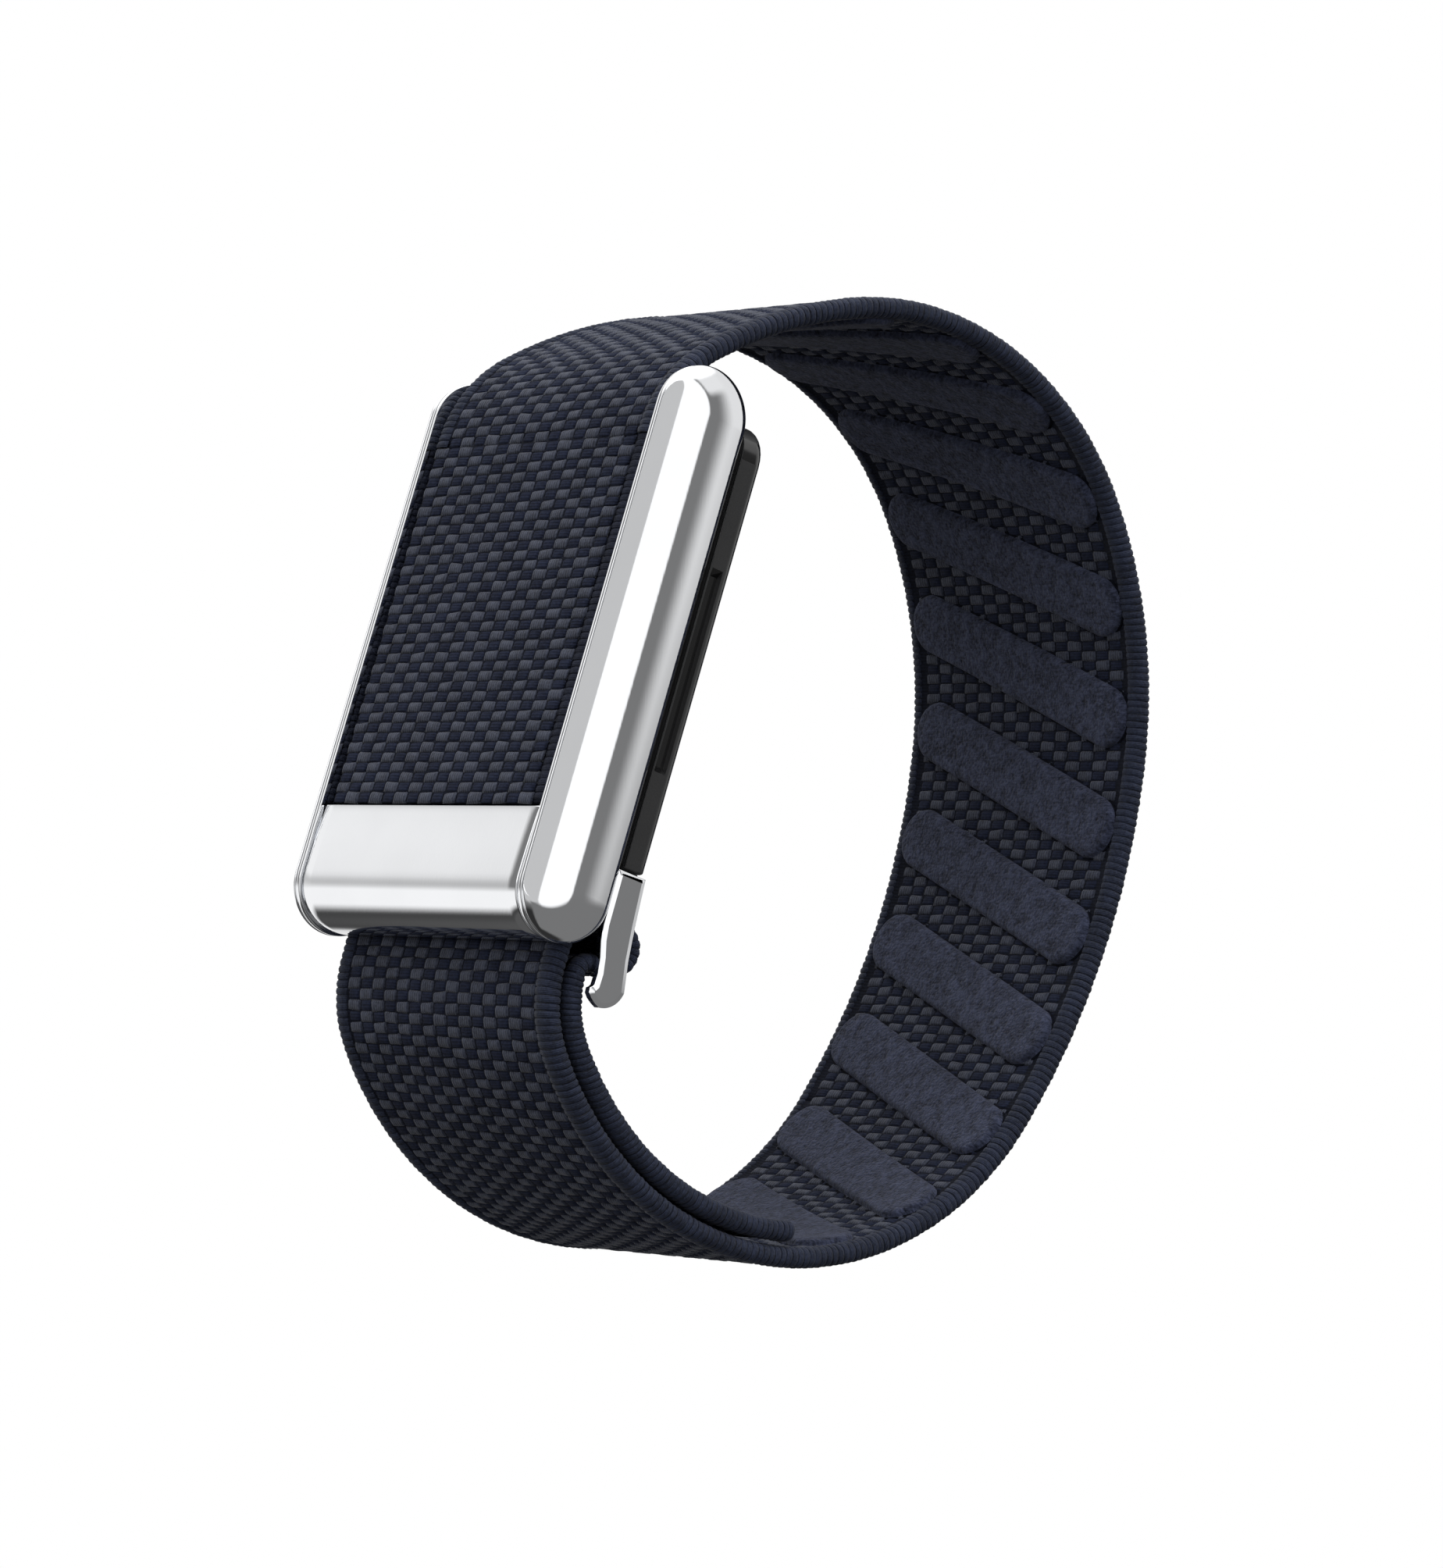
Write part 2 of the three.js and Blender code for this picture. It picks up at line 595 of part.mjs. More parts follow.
function addCoverBar() {
  const outer = cheekRadius - COVER_RECESS;
  const inner = outer - COVER_WALL;
  const lip = riseY - strapFace - COVER_CLEARANCE - lowerRound.y; // where the bar's sweep ends
  const sweep = Math.PI - Math.acos(lip / outer);
  const steps = 10;
  const arc = (radius) =>
    Array.from({ length: steps + 1 }, (_, k) => {
      const angle = Math.PI + (sweep * k) / steps;
      return [lowerRound.y + radius * Math.cos(angle), lowerRound.z + radius * Math.sin(angle)];
    });
  const outline = [[coverFront, coverTop], ...arc(outer), ...arc(inner).reverse()];
  add("cover_bar", across([...outline, [coverBack, coverTop]], -spanHalf, spanHalf), CHROME);
}

function addHinge() {
  const knuckleHalf = KNUCKLE_WIDTH / 2;
  const barrel = rod(knuckleRadius, -knuckleHalf, knuckleHalf, hinge.y, hinge.z);
  const web = span(KNUCKLE_WIDTH, plateFront, plateBack, frontCaseTop - BRACKET_LAP, hinge.z);
  const neck = span(KNUCKLE_WIDTH, plateFront, hinge.y, frontCaseTop + SEAM, hinge.z);
  const bore = rod(HINGE_PIN_RADIUS + FIT, -knuckleHalf - 1, knuckleHalf + 1, hinge.y, hinge.z);
  add("hinge_bracket", cut(join(barrel, web, neck), bore), STEEL);
  add("hinge_pin", rod(HINGE_PIN_RADIUS, -spanHalf, spanHalf, hinge.y, hinge.z), STEEL);
  const bushFrom = knuckleHalf + SEAM;
  const addBush = (name, from, to) => {
    const bush = rod(knuckleRadius, from, to, hinge.y, hinge.z);
    const hole = rod(HINGE_PIN_RADIUS + FIT, from - 1, to + 1, hinge.y, hinge.z);
    add(name, cut(bush, hole), RUBBER);
  };
  addBush("hinge_bush_left", -spanHalf, -bushFrom);
  addBush("hinge_bush_right", bushFrom, spanHalf);
}

// ---- the frame that carries the pod, from the hinge bracket down to the hook

const wallTop = podBottom - SEAM;
const wallBottom = wallTop - HOOK_WALL;

function addCarrier() {
  const top = frontCaseTop - BRACKET_LAP - SEAM;
  const half = carrierHalf;
  const notchTop = coverTop + 2 * SEAM;
  const foot = wallTop + SEAM;
  const outline = new THREE.Shape();
  outline.moveTo(-half, foot);
  outline.lineTo(-half + CARRIER_LEG, foot);
  outline.lineTo(-half + CARRIER_LEG, notchTop);
  outline.lineTo(half - CARRIER_LEG, notchTop);
  outline.lineTo(half - CARRIER_LEG, foot);
  outline.lineTo(half, foot);
  outline.lineTo(half, top);
  outline.lineTo(-half, top);
  add("carrier_plate", forward(outline, plateBack, PLATE_THICKNESS), STEEL);
}

// The hook: a cross wall under the pod and two arms that carry the bar.
function addHook() {
  const wallBack = podBack - WALL_STEP;
  const wall = span(2 * armInner + 2 * LAP, plateFront, wallBack, wallBottom, wallTop);
  const back = podBack + PLAY;
  const front = back - REAR_CASE_DEPTH - ARM_STEP;
  const outline = [
    ...ARM_NECK.map(([behind, drop]) => [front + behind, armTop - drop]),
    ...ARM_FOOT.map(([behind, rise]) => [front + behind, hookBottom + rise]),
    [back + ARM_HIP.behind, bar.z - ARM_HIP.drop],
    [back + ARM_WAIST.behind, armTop - ARM_WAIST.drop],
    [back, armTop],
  ];
  const right = across(outline, armInner, armOuter);
  const left = across(outline, -armOuter, -armInner);
  add("hook_bracket", join(wall, left, right), CHROME);
  const barHalf = armInner - SEAM / 2;
  add("hook_bar", rod(BAR_RADIUS, -barHalf, barHalf, bar.y, bar.z, 16), CHROME);
}

// A ledge under the hook's wall, and the cover bar's leaf that snaps beneath it.
function addLatch() {
  const ledgeTop = wallBottom - SEAM / 2;
  const ledgeBottom = ledgeTop - LEDGE.height;
  const ledgeFront = plateFront + LEDGE.behind;
  const ledge = span(LEDGE.width, ledgeFront, ledgeFront + LEDGE.depth, ledgeBottom, ledgeTop);
  add("latch_ledge", ledge, STEEL);
  const leafTop = ledgeBottom - SEAM / 2;
  const leafFront = plateFront - LEAF.ahead;
  const leaf = span(LEAF.width, leafFront, leafFront + LEAF.depth, leafTop - LEAF.height, leafTop);
  add("latch_leaf", leaf, STEEL);
}

// ---- pod

function podOutline(half, top, corner) {
  const shape = new THREE.Shape();
  shape.moveTo(-narrowHalf, podBottom);
  shape.lineTo(narrowHalf, podBottom);
  shape.lineTo(narrowHalf, shoulderHeight);
  shape.lineTo(half, shoulderHeight);
  shape.lineTo(half, top - corner);
  shape.absarc(half - corner, top - corner, corner, 0, Math.PI / 2, false);
  shape.lineTo(-half + corner, top);
  shape.absarc(-half + corner, top - corner, corner, Math.PI / 2, Math.PI, false);
  shape.lineTo(-half, shoulderHeight);
  shape.lineTo(-narrowHalf, shoulderHeight);
  return shape;
}

const frontHeight = frontCaseTop - podBottom;
const frontMiddle = (frontCaseTop + podBottom) / 2;
const floorY = podFront + CASE_WALL; // the front case's inner face
const room = {
  top: frontCaseTop - CASE_WALL,
  bottom: podBottom + CASE_WALL,
  width: 2 * (narrowHalf - CASE_WALL),
};
room.height = room.top - room.bottom;
room.middle = (room.top + room.bottom) / 2;

// A plate as wide and high as the pod's room, drawn in on every side.
function roomPlate(shrink, backY, depth, radius) {
  return plate(room.width - 2 * shrink, room.height - 2 * shrink, room.middle, backY, depth, radius);
}

function addCases() {
  const hole = WINDOW_SIZE + SEAM;
  const window = plate(hole, hole, WINDOW_HEIGHT, podBack + 1, REAR_CASE_DEPTH + 2, 2);
  const outline = podOutline(podWidth / 2, podTop, CASE_CORNER);
  const shell = forward(outline, podBack, REAR_CASE_DEPTH, CASE_EASE);
  const rearRoom = roomPlate(0, podBack - CASE_WALL, REAR_CASE_DEPTH + 2, 1);
  add("pod_rear_case", cut(shell, window, rearRoom), CASE_BLACK);

  const tray = plate(2 * narrowHalf, frontHeight, frontMiddle, frontCaseBack, frontCaseDepth, 1.2);
  const trayRoom = roomPlate(0, frontCaseBack + 1, frontCaseDepth - CASE_WALL + 1, 1);
  add("pod_front_case", cut(tray, trayRoom, sideGroove(-1, 0), sideGroove(1, 0)), CASE_BLACK);

  const gasket = roomPlate(SEAM, rearInner + SEAL_DEPTH / 2, SEAL_DEPTH, 0.8);
  const opening = roomPlate(SEAM + SEAL_WIDTH, rearInner + 2, 4, 0.6);
  add("case_seal", cut(gasket, opening), RUBBER);
}

// The long groove in each side of the front case, where the charging contacts sit.
function sideGroove(side, shrink) {
  const depth = GROOVE_DEPTH - shrink;
  const width = GROOVE_WIDTH - 2 * shrink;
  const height = GROOVE_TOP - GROOVE_BOTTOM - 2 * shrink;
  const y = frontCaseBack - GROOVE_RIM - GROOVE_WIDTH / 2;
  const z = (GROOVE_TOP + GROOVE_BOTTOM) / 2;
  return box(2 * depth, width, height, side * (narrowHalf + shrink / 2), y, z);
}

function addContacts() {
  add("charge_contact_left", sideGroove(-1, CONTACT_CLEARANCE), GOLD);
  add("charge_contact_right", sideGroove(1, CONTACT_CLEARANCE), GOLD);
}

const sensorBoard = {
  width: WINDOW_SIZE - 2 * BOARD_MARGIN,
  height: WINDOW_SIZE - 4 * BOARD_MARGIN,
  back: podBack - CASE_WALL - BOARD_SINK,
};

function addSensorHead() {
  const windowBack = podBack + WINDOW_STAND;
  const windowDepth = WINDOW_STAND + CASE_WALL;
  const dome = plate(WINDOW_SIZE, WINDOW_SIZE, WINDOW_HEIGHT, windowBack, windowDepth, 1.8, 0.5);
  add("sensor_window", dome, GLOSS_BLACK);
  const { width, height, back } = sensorBoard;
  add("sensor_board", plate(width, height, WINDOW_HEIGHT, back, BOARD_THICKNESS, 0.6), BOARD);

  const barrierSize = WINDOW_SIZE - 2 * BARRIER_MARGIN;
  const cellPitch = BARRIER.pitch * barrierSize;
  const cellWidth = BARRIER.opening * barrierSize;
  const emitterY = back + (SEAM + EMITTER_DEPTH) / 2;
  const addEmitter = (name, x, z, share, material) => {
    const size = share * WINDOW_SIZE;
    add(name, box(size, EMITTER_DEPTH, size, x, emitterY, WINDOW_HEIGHT + z), material);
  };
  addEmitter("green_led_top", 0, LIGHT.ledPitch * cellPitch, LIGHT.led, LED_LENS);
  addEmitter("green_led_bottom", 0, -LIGHT.ledPitch * cellPitch, LIGHT.led, LED_LENS);
  addEmitter("infrared_led", 0, 0, LIGHT.infrared, LED_LENS);
  addEmitter("photodiode_left", -LIGHT.diodePitch * cellPitch, 0, LIGHT.diode, SENSOR);
  addEmitter("photodiode_right", LIGHT.diodePitch * cellPitch, 0, LIGHT.diode, SENSOR);

  const barrierBack = podBack - CASE_WALL - SEAM;
  const frame = plate(barrierSize, barrierSize, WINDOW_HEIGHT, barrierBack, BARRIER_DEPTH, 0.8);
  const opening = (x) =>
    plate(cellWidth, barrierSize - 1, WINDOW_HEIGHT, barrierBack + 1, BARRIER_DEPTH + 2, 0.4, 0, x);
  add("light_barrier", cut(frame, opening(-cellPitch), opening(0), opening(cellPitch)), RUBBER);
}

// What lies between the front case's floor and the sensor board takes shares of their gap.
// The cell fills the lower part of the room and the main board the upper part.
function addElectronics() {
  const stack = sensorBoard.back - BOARD_THICKNESS - floorY;
  const margin = ROOM.margin * room.height;
  const cellHeight = ROOM.cellHeight * room.height;
  const boardHeight = room.height - cellHeight - 3 * margin;
  const cellMiddle = room.bottom + margin + cellHeight / 2;
  const boardMiddle = room.top - margin - boardHeight / 2;
  const back = floorY + SEAM;
  const cellDepth = STACK.cell * stack;
  const cellWidth = ROOM.cellWidth * room.width;
  const cell = plate(cellWidth, cellHeight, cellMiddle, back + cellDepth, cellDepth, 1, 0.3);
  add("battery_cell", cell, CELL);
  const filmDepth = STACK.film * stack;
  const filmWidth = ROOM.filmWidth * room.width;
  const film = plate(filmWidth, boardHeight / 2, boardMiddle + 1, back, filmDepth, 0.5);
  add("antenna_film", film, COPPER_FILM);
  const boardDepth = STACK.board * stack;
  const boardTop = back + STACK.boardFrom * stack + boardDepth;
  const boardWidth = ROOM.boardWidth * room.width;
  add("main_board", plate(boardWidth, boardHeight, boardMiddle, boardTop, boardDepth, 0.8), BOARD);
  const partsFront = boardTop + STACK.gap * stack;
  const chipDepth = STACK.chip * stack;
  const chip = box(CHIP_SIZE, chipDepth, CHIP_SIZE, CHIP_SHIFT * room.width, 0, boardMiddle);
  add("processor", chip.translate(0, partsFront + chipDepth / 2, 0), CHIP);
  // The motor stands in the gap between the sensor board's upper edge and the room's top.
  const motorDepth = STACK.motor * stack;
  const motorZ = (WINDOW_HEIGHT + sensorBoard.height / 2 + room.top) / 2;
  const motor = new THREE.CylinderGeometry(MOTOR_RADIUS, MOTOR_RADIUS, motorDepth, 24);
  const motorX = MOTOR_SHIFT * room.width;
  add("haptic_motor", motor.translate(motorX, partsFront + motorDepth / 2, motorZ), CELL);
}

// ---------------------------------------------------------------- build

addLoop();
addHookFold();
addTail();
addPads();
addFrontPanel();
addCheeks();
addCoverBar();
addHinge();
addCarrier();
addHook();
addLatch();
addCases();
addSensorHead();
addElectronics();
addContacts();

const bounds = new THREE.Box3().setFromObject(part, true);
leaning.position.copy(bounds.getCenter(new THREE.Vector3()).negate());

export default part;
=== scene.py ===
"""The looks of a knitted fitness tracker band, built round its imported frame.

The band is a strap loop with a checkered knit, overlocked edges and felt grip pads. A polished
clasp at the front carries the pod. Lengths are millimetres in the clasp's own frame, where z
runs up the clasp, y runs from its front to the wrist and x runs across the band. ClaspFrame
turns them into the row frame's metres when a mesh is made.
"""

from __future__ import annotations

import json
import logging
import math
from dataclasses import dataclass, field
from enum import Enum
from typing import Any, Callable, Iterable, Sequence

import bpy
import numpy as np
from bpy.types import Material, Mesh, Node, NodeSocket, NodeTree, Object
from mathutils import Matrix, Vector

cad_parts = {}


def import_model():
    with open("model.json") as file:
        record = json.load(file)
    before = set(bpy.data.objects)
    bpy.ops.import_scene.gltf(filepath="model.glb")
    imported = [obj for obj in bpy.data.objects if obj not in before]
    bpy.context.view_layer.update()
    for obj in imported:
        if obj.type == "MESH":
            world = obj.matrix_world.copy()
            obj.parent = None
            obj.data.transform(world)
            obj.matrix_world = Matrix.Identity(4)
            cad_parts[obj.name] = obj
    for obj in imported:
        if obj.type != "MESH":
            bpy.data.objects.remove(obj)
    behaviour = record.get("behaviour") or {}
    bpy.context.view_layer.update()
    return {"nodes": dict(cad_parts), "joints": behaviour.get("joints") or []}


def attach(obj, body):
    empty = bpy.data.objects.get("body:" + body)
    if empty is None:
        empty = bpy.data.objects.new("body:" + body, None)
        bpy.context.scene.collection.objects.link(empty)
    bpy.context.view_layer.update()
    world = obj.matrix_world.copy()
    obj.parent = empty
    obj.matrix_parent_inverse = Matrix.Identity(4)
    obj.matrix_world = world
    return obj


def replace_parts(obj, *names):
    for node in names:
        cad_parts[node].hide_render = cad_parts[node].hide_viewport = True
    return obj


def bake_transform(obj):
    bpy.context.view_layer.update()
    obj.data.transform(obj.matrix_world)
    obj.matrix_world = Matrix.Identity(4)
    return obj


LOG = logging.getLogger("tracker_band")
MILLIMETRE = 0.001
WHITE = (1.0, 1.0, 1.0, 1.0)
Points = np.ndarray
Pair = tuple[float, float]
Faces = list[tuple[int, ...]]
Colour = tuple[int, int, int]


# ---- names that are chosen from


class Body(str, Enum):
    """The bodies that pieces ride on."""

    BAND = "band"
    CLASP = "clasp"
    POD = "pod"


class Side(Enum):
    """The two sides of the band."""

    LEFT = -1
    RIGHT = 1


class Face(Enum):
    """The two faces of the strap."""

    OUTER = 1
    INNER = -1


# ---- node trees


class NodeSheet:
    """A shorthand for filling one node tree."""

    def __init__(self, tree: NodeTree) -> None:
        """Keeps the tree that the nodes go in."""
        self.tree = tree

    def put(self, socket: NodeSocket, value: Any) -> None:
        """Links a socket to another one, or sets its own value.

        Args:
            socket: The input that is filled.
            value: An output socket, or a plain value.
        """
        if isinstance(value, NodeSocket):
            self.tree.links.new(value, socket)
        else:
            socket.default_value = value

    def add(self, kind: str, inputs: dict[Any, Any] | None = None, **settings: Any) -> Node:
        """Adds one node.

        Args:
            kind: The node's type name.
            inputs: Values or sockets by the input's name or number.
            **settings: The node's own properties.

        Returns:
            The new node.
        """
        node = self.tree.nodes.new(kind)
        for key, value in settings.items():
            setattr(node, key, value)
        for key, value in (inputs or {}).items():
            self.put(node.inputs[key], value)
        return node

    def math(self, operation: str, *values: Any) -> NodeSocket:
        """Adds a Math node and returns its output."""
        node = self.add("ShaderNodeMath", dict(enumerate(values)), operation=operation)
        return node.outputs[0]

    def mix(self, factor: Any, first: Any, second: Any) -> NodeSocket:
        """Mixes two colours and returns the result's socket."""
        node = self.add("ShaderNodeMix", data_type="RGBA")
        for index, value in ((0, factor), (6, first), (7, second)):
            self.put(node.inputs[index], value)
        return node.outputs[2]

    def noise(self, vector: Any, scale: float, detail: float = 3.0) -> NodeSocket:
        """Adds a noise texture and returns its value, from 0 to 1."""
        node = self.add("ShaderNodeTexNoise", {"Vector": vector, "Scale": scale, "Detail": detail})
        return node.outputs["Fac"]

    def weave(self) -> NodeSocket:
        """Returns the place on the flat strap, which every fabric stores."""
        return self.add("ShaderNodeAttribute", attribute_name="weave").outputs["Vector"]

    def place(self) -> NodeSocket:
        """Returns the object's own coordinates."""
        return self.add("ShaderNodeTexCoord").outputs["Object"]

    def stretched(self, vector: Any, scale: tuple[float, float, float]) -> NodeSocket:
        """Stretches coordinates along their axes."""
        return self.add("ShaderNodeMapping", {"Vector": vector, "Scale": scale}).outputs[0]

    def ramp(self, value: Any, low: float, high: float) -> NodeSocket:
        """Stretches a value between two limits to 0 and 1."""
        inputs = {"Value": value, "From Min": low, "From Max": high}
        return self.add("ShaderNodeMapRange", inputs).outputs["Result"]


def linear(colour: Iterable[int]) -> tuple[float, ...]:
    """Turns a colour as a screen shows it into the linear colour that shaders take."""
    shares = [level / 255 for level in colour]
    levels = [v / 12.92 if v <= 0.04045 else ((v + 0.055) / 1.055) ** 2.4 for v in shares]
    return *levels, 1.0


# ---- finishes


@dataclass(frozen=True)
class Finish:
    """What every finish has: a name, the record's slot and constants of the shader."""

    name: str
    slot: str
    roughness: float = 0.5
    metallic: float = 0.0
    sheen: float = 0.0
    coat: float = 0.0
    specular: float = 0.5

    def paint(self, sheet: NodeSheet, shader: Node) -> None:
        """Fills the shader's colour, roughness and normal."""
        raise NotImplementedError

    def material(self) -> Material:
        """Returns the finish's material, made once."""
        found = bpy.data.materials.get(self.name)
        if found:
            return found
        material = bpy.data.materials.new(self.name)
        material.use_nodes = True
        sheet = NodeSheet(material.node_tree)
        material.node_tree.nodes.clear()
        constants = {
            "Roughness": self.roughness,
            "Metallic": self.metallic,
            "Sheen Weight": self.sheen,
            "Sheen Roughness": 0.5,
            "Coat Weight": self.coat,
            "Coat Roughness": 0.08,
            "Specular IOR Level": self.specular,
        }
        shader = sheet.add("ShaderNodeBsdfPrincipled", constants)
        self.paint(sheet, shader)
        sheet.add("ShaderNodeOutputMaterial", {"Surface": shader.outputs[0]})
        return material

    @staticmethod
    def dye(
        sheet: NodeSheet, shader: Node, tone: Any, low: Iterable[int], high: Iterable[int]
    ) -> None:
        """Colours the shader between two colours by a tone from 0 to 1."""
        sheet.put(shader.inputs["Base Color"], sheet.mix(tone, linear(low), linear(high)))

    @staticmethod
    def bump(sheet: NodeSheet, shader: Node, height: Any, depth: float) -> None:
        """Gives the shader a bump of a depth in millimetres."""
        inputs = {"Height": height, "Strength": 0.6, "Distance": depth * MILLIMETRE}
        sheet.put(shader.inputs["Normal"], sheet.add("ShaderNodeBump", inputs).outputs[0])


@dataclass(frozen=True)
class YarnFinish(Finish):
    """Yarn whose fibres run along or across the strap, read from the piece's weave attribute."""

    dark: Colour = (23, 27, 40)
    light: Colour = (66, 71, 87)
    fibre_pitch: float = 0.235
    across: bool = False
    mottle: float = 0.45

    def paint(self, sheet: NodeSheet, shader: Node) -> None:
        """Draws fibres, a mottled dye and a fuzzy surface."""
        weave = sheet.weave()
        parts = sheet.add("ShaderNodeSeparateXYZ", {0: weave}).outputs
        wander = sheet.noise(weave, 2.2)
        line = parts[1] if self.across else parts[0]
        phase = sheet.math("ADD", sheet.math("MULTIPLY", line, math.tau / self.fibre_pitch), wander)
        fibre = sheet.math("MULTIPLY_ADD", sheet.math("SINE", phase), 0.5, 0.5)
        speck = sheet.ramp(sheet.noise(weave, 6.0, 4.0), 0.38, 0.62)
        dye = sheet.ramp(sheet.noise(weave, 0.7, 2.0), 0.4, 0.6)
        tone = sheet.math("MULTIPLY_ADD", fibre, 0.45, sheet.math("MULTIPLY", speck, self.mottle))
        tone = sheet.math("MULTIPLY_ADD", dye, 0.25, tone)
        self.dye(sheet, shader, tone, self.dark, self.light)
        relief = sheet.math("MULTIPLY_ADD", speck, 0.5, fibre)
        self.bump(sheet, shader, relief, 0.03)


@dataclass(frozen=True)
class FeltFinish(Finish):
    """Brushed felt with short fibres lying every way."""

    dark: Colour = (14, 17, 28)
    light: Colour = (74, 80, 104)

    def paint(self, sheet: NodeSheet, shader: Node) -> None:
        """Draws clumps, streaks and single fibres."""
        weave = sheet.weave()
        clump = sheet.ramp(sheet.noise(weave, 1.5, 5.0), 0.36, 0.64)
        fibre = sheet.ramp(sheet.noise(weave, 4.5, 5.0), 0.36, 0.64)
        streak = sheet.noise(sheet.stretched(weave, (2.0, 8.0, 1.0)), 1.0, 3.0)
        streak = sheet.ramp(streak, 0.38, 0.62)
        tone = sheet.math("MULTIPLY_ADD", clump, 0.4, sheet.math("MULTIPLY", fibre, 0.35))
        tone = sheet.math("MULTIPLY_ADD", streak, 0.25, tone)
        self.dye(sheet, shader, tone, self.dark, self.light)
        self.bump(sheet, shader, sheet.math("ADD", clump, fibre), 0.12)


@dataclass(frozen=True)
class MetalFinish(Finish):
    """Bright or brushed metal with a faint haze in its polish."""

    colour: Colour = (240, 241, 243)
    haze: float = 0.05
    scratch: float = 0.002

    def paint(self, sheet: NodeSheet, shader: Node) -> None:
        """Varies the polish and leaves hairline marks."""
        place = sheet.place()
        cloud = sheet.noise(place, 160.0, 3.0)
        hair = sheet.noise(sheet.stretched(place, (9000.0, 9000.0, 500.0)), 1.0, 2.0)
        rough = sheet.math("MULTIPLY_ADD", cloud, self.haze, self.roughness)
        sheet.put(shader.inputs["Roughness"], rough)
        self.dye(sheet, shader, cloud, self.colour, [level - 8 for level in self.colour])
        self.bump(sheet, shader, hair, self.scratch)


@dataclass(frozen=True)
class MouldedFinish(Finish):
    """Moulded plastic or rubber with a fine eroded texture."""

    colour: Colour = (38, 38, 39)
    grain: float = 0.012
    grain_scale: float = 9000.0

    def paint(self, sheet: NodeSheet, shader: Node) -> None:
        """Draws the mould's grain and a little uneven gloss."""
        place = sheet.place()
        grain = sheet.noise(place, self.grain_scale, 2.0)
        cloud = sheet.noise(place, 220.0, 3.0)
        rough = sheet.math("MULTIPLY_ADD", cloud, 0.12, self.roughness - 0.06)
        sheet.put(shader.inputs["Roughness"], rough)
        lifted = [min(255, level + 7) for level in self.colour]
        self.dye(sheet, shader, cloud, self.colour, lifted)
        self.bump(sheet, shader, grain, self.grain)


@dataclass(frozen=True)
class BoardFinish(Finish):
    """A circuit board's lacquer with faint copper tracks under it."""

    lacquer: Colour = (18, 66, 34)
    track: Colour = (44, 110, 62)

    def paint(self, sheet: NodeSheet, shader: Node) -> None:
        """Draws tracks as thin bands in two directions."""
        place = sheet.place()
        inputs = {"Vector": place, "Scale": 900.0}
        cells = sheet.add("ShaderNodeTexVoronoi", inputs, distance="MANHATTAN")
        edge = sheet.ramp(cells.outputs["Distance"], 0.42, 0.5)
        self.dye(sheet, shader, edge, self.lacquer, self.track)
        self.bump(sheet, shader, edge, 0.01)


RAISED_YARN = YarnFinish("raised_yarn", "knit", 0.8, sheen=0.1, specular=0.25)
SUNK_YARN = YarnFinish(
    "sunk_yarn", "knit", 0.9, specular=0.15, dark=(15, 18, 31), light=(37, 43, 63), across=True,
    fibre_pitch=0.2,
)
GROUND_YARN = YarnFinish(
    "ground_yarn", "knit", 0.9, specular=0.15, dark=(8, 10, 18), light=(22, 26, 40), across=True,
)
EDGE_YARN = YarnFinish(
    "edge_yarn", "knit", 0.8, sheen=0.06, specular=0.25, dark=(15, 19, 31), light=(46, 53, 74),
    across=True, fibre_pitch=0.11,
)
# A darker copy of the edge yarn for the front panel's flat edges: painted shade, as if they lie in
# the shadow of the cheeks' rims.
SHADED_SELVEDGE_YARN = YarnFinish(
    "selvedge_yarn", "knit", 0.85, specular=0.2, dark=(13, 15, 26), light=(36, 41, 58), across=True,
    fibre_pitch=0.11,
)
FELT = FeltFinish("brushed_felt", "pad_felt", 0.92, sheen=0.08, specular=0.12)
# A darker felt for the sunk foot round each pad: painted shade in the groove where the pad meets
# the cloth.
FELT_FOOT_SHADE = FeltFinish(
    "pad_seam", "pad_felt", 0.95, specular=0.1, dark=(8, 9, 15), light=(20, 23, 34),
)
CHROME = MetalFinish("polished_chrome", "polished_metal", 0.035, metallic=1.0)
STEEL = MetalFinish(
    "brushed_steel", "satin_steel", 0.28, metallic=1.0, colour=(176, 178, 181), haze=0.14,
    scratch=0.01,
)
POD_SATIN = MouldedFinish("pod_satin", "pod_shell", 0.42, coat=0.1)
POD_GLOSS = MouldedFinish(
    "pod_gloss", "pod_shell", 0.14, coat=0.6, colour=(9, 9, 10), grain=0.001, grain_scale=3000.0,
)
LENS = MouldedFinish(
    "sensor_glass", "sensor_lens", 0.1, coat=1.0, colour=(7, 7, 9), grain=0.0005,
    grain_scale=2000.0,
)
RUBBER = MouldedFinish("matt_rubber", "soft_rubber", 0.8, colour=(22, 22, 23), grain=0.02)
EMITTER = MouldedFinish(
    "emitter_lens", "emitter", 0.15, coat=0.8, colour=(120, 190, 140), grain=0.001,
)
CHIP = MouldedFinish("chip_case", "chip", 0.55, colour=(28, 28, 31), grain=0.01)
CELL = MetalFinish(
    "cell_jacket", "cell_can", 0.3, metallic=0.9, colour=(172, 176, 181), haze=0.1, scratch=0.006,
)
GOLD = MetalFinish("gold_plate", "gold_contact", 0.18, metallic=1.0, colour=(212, 172, 84))
BOARD = BoardFinish("board_lacquer", "circuit_board", 0.4, coat=0.4)


# ---- places and meshes


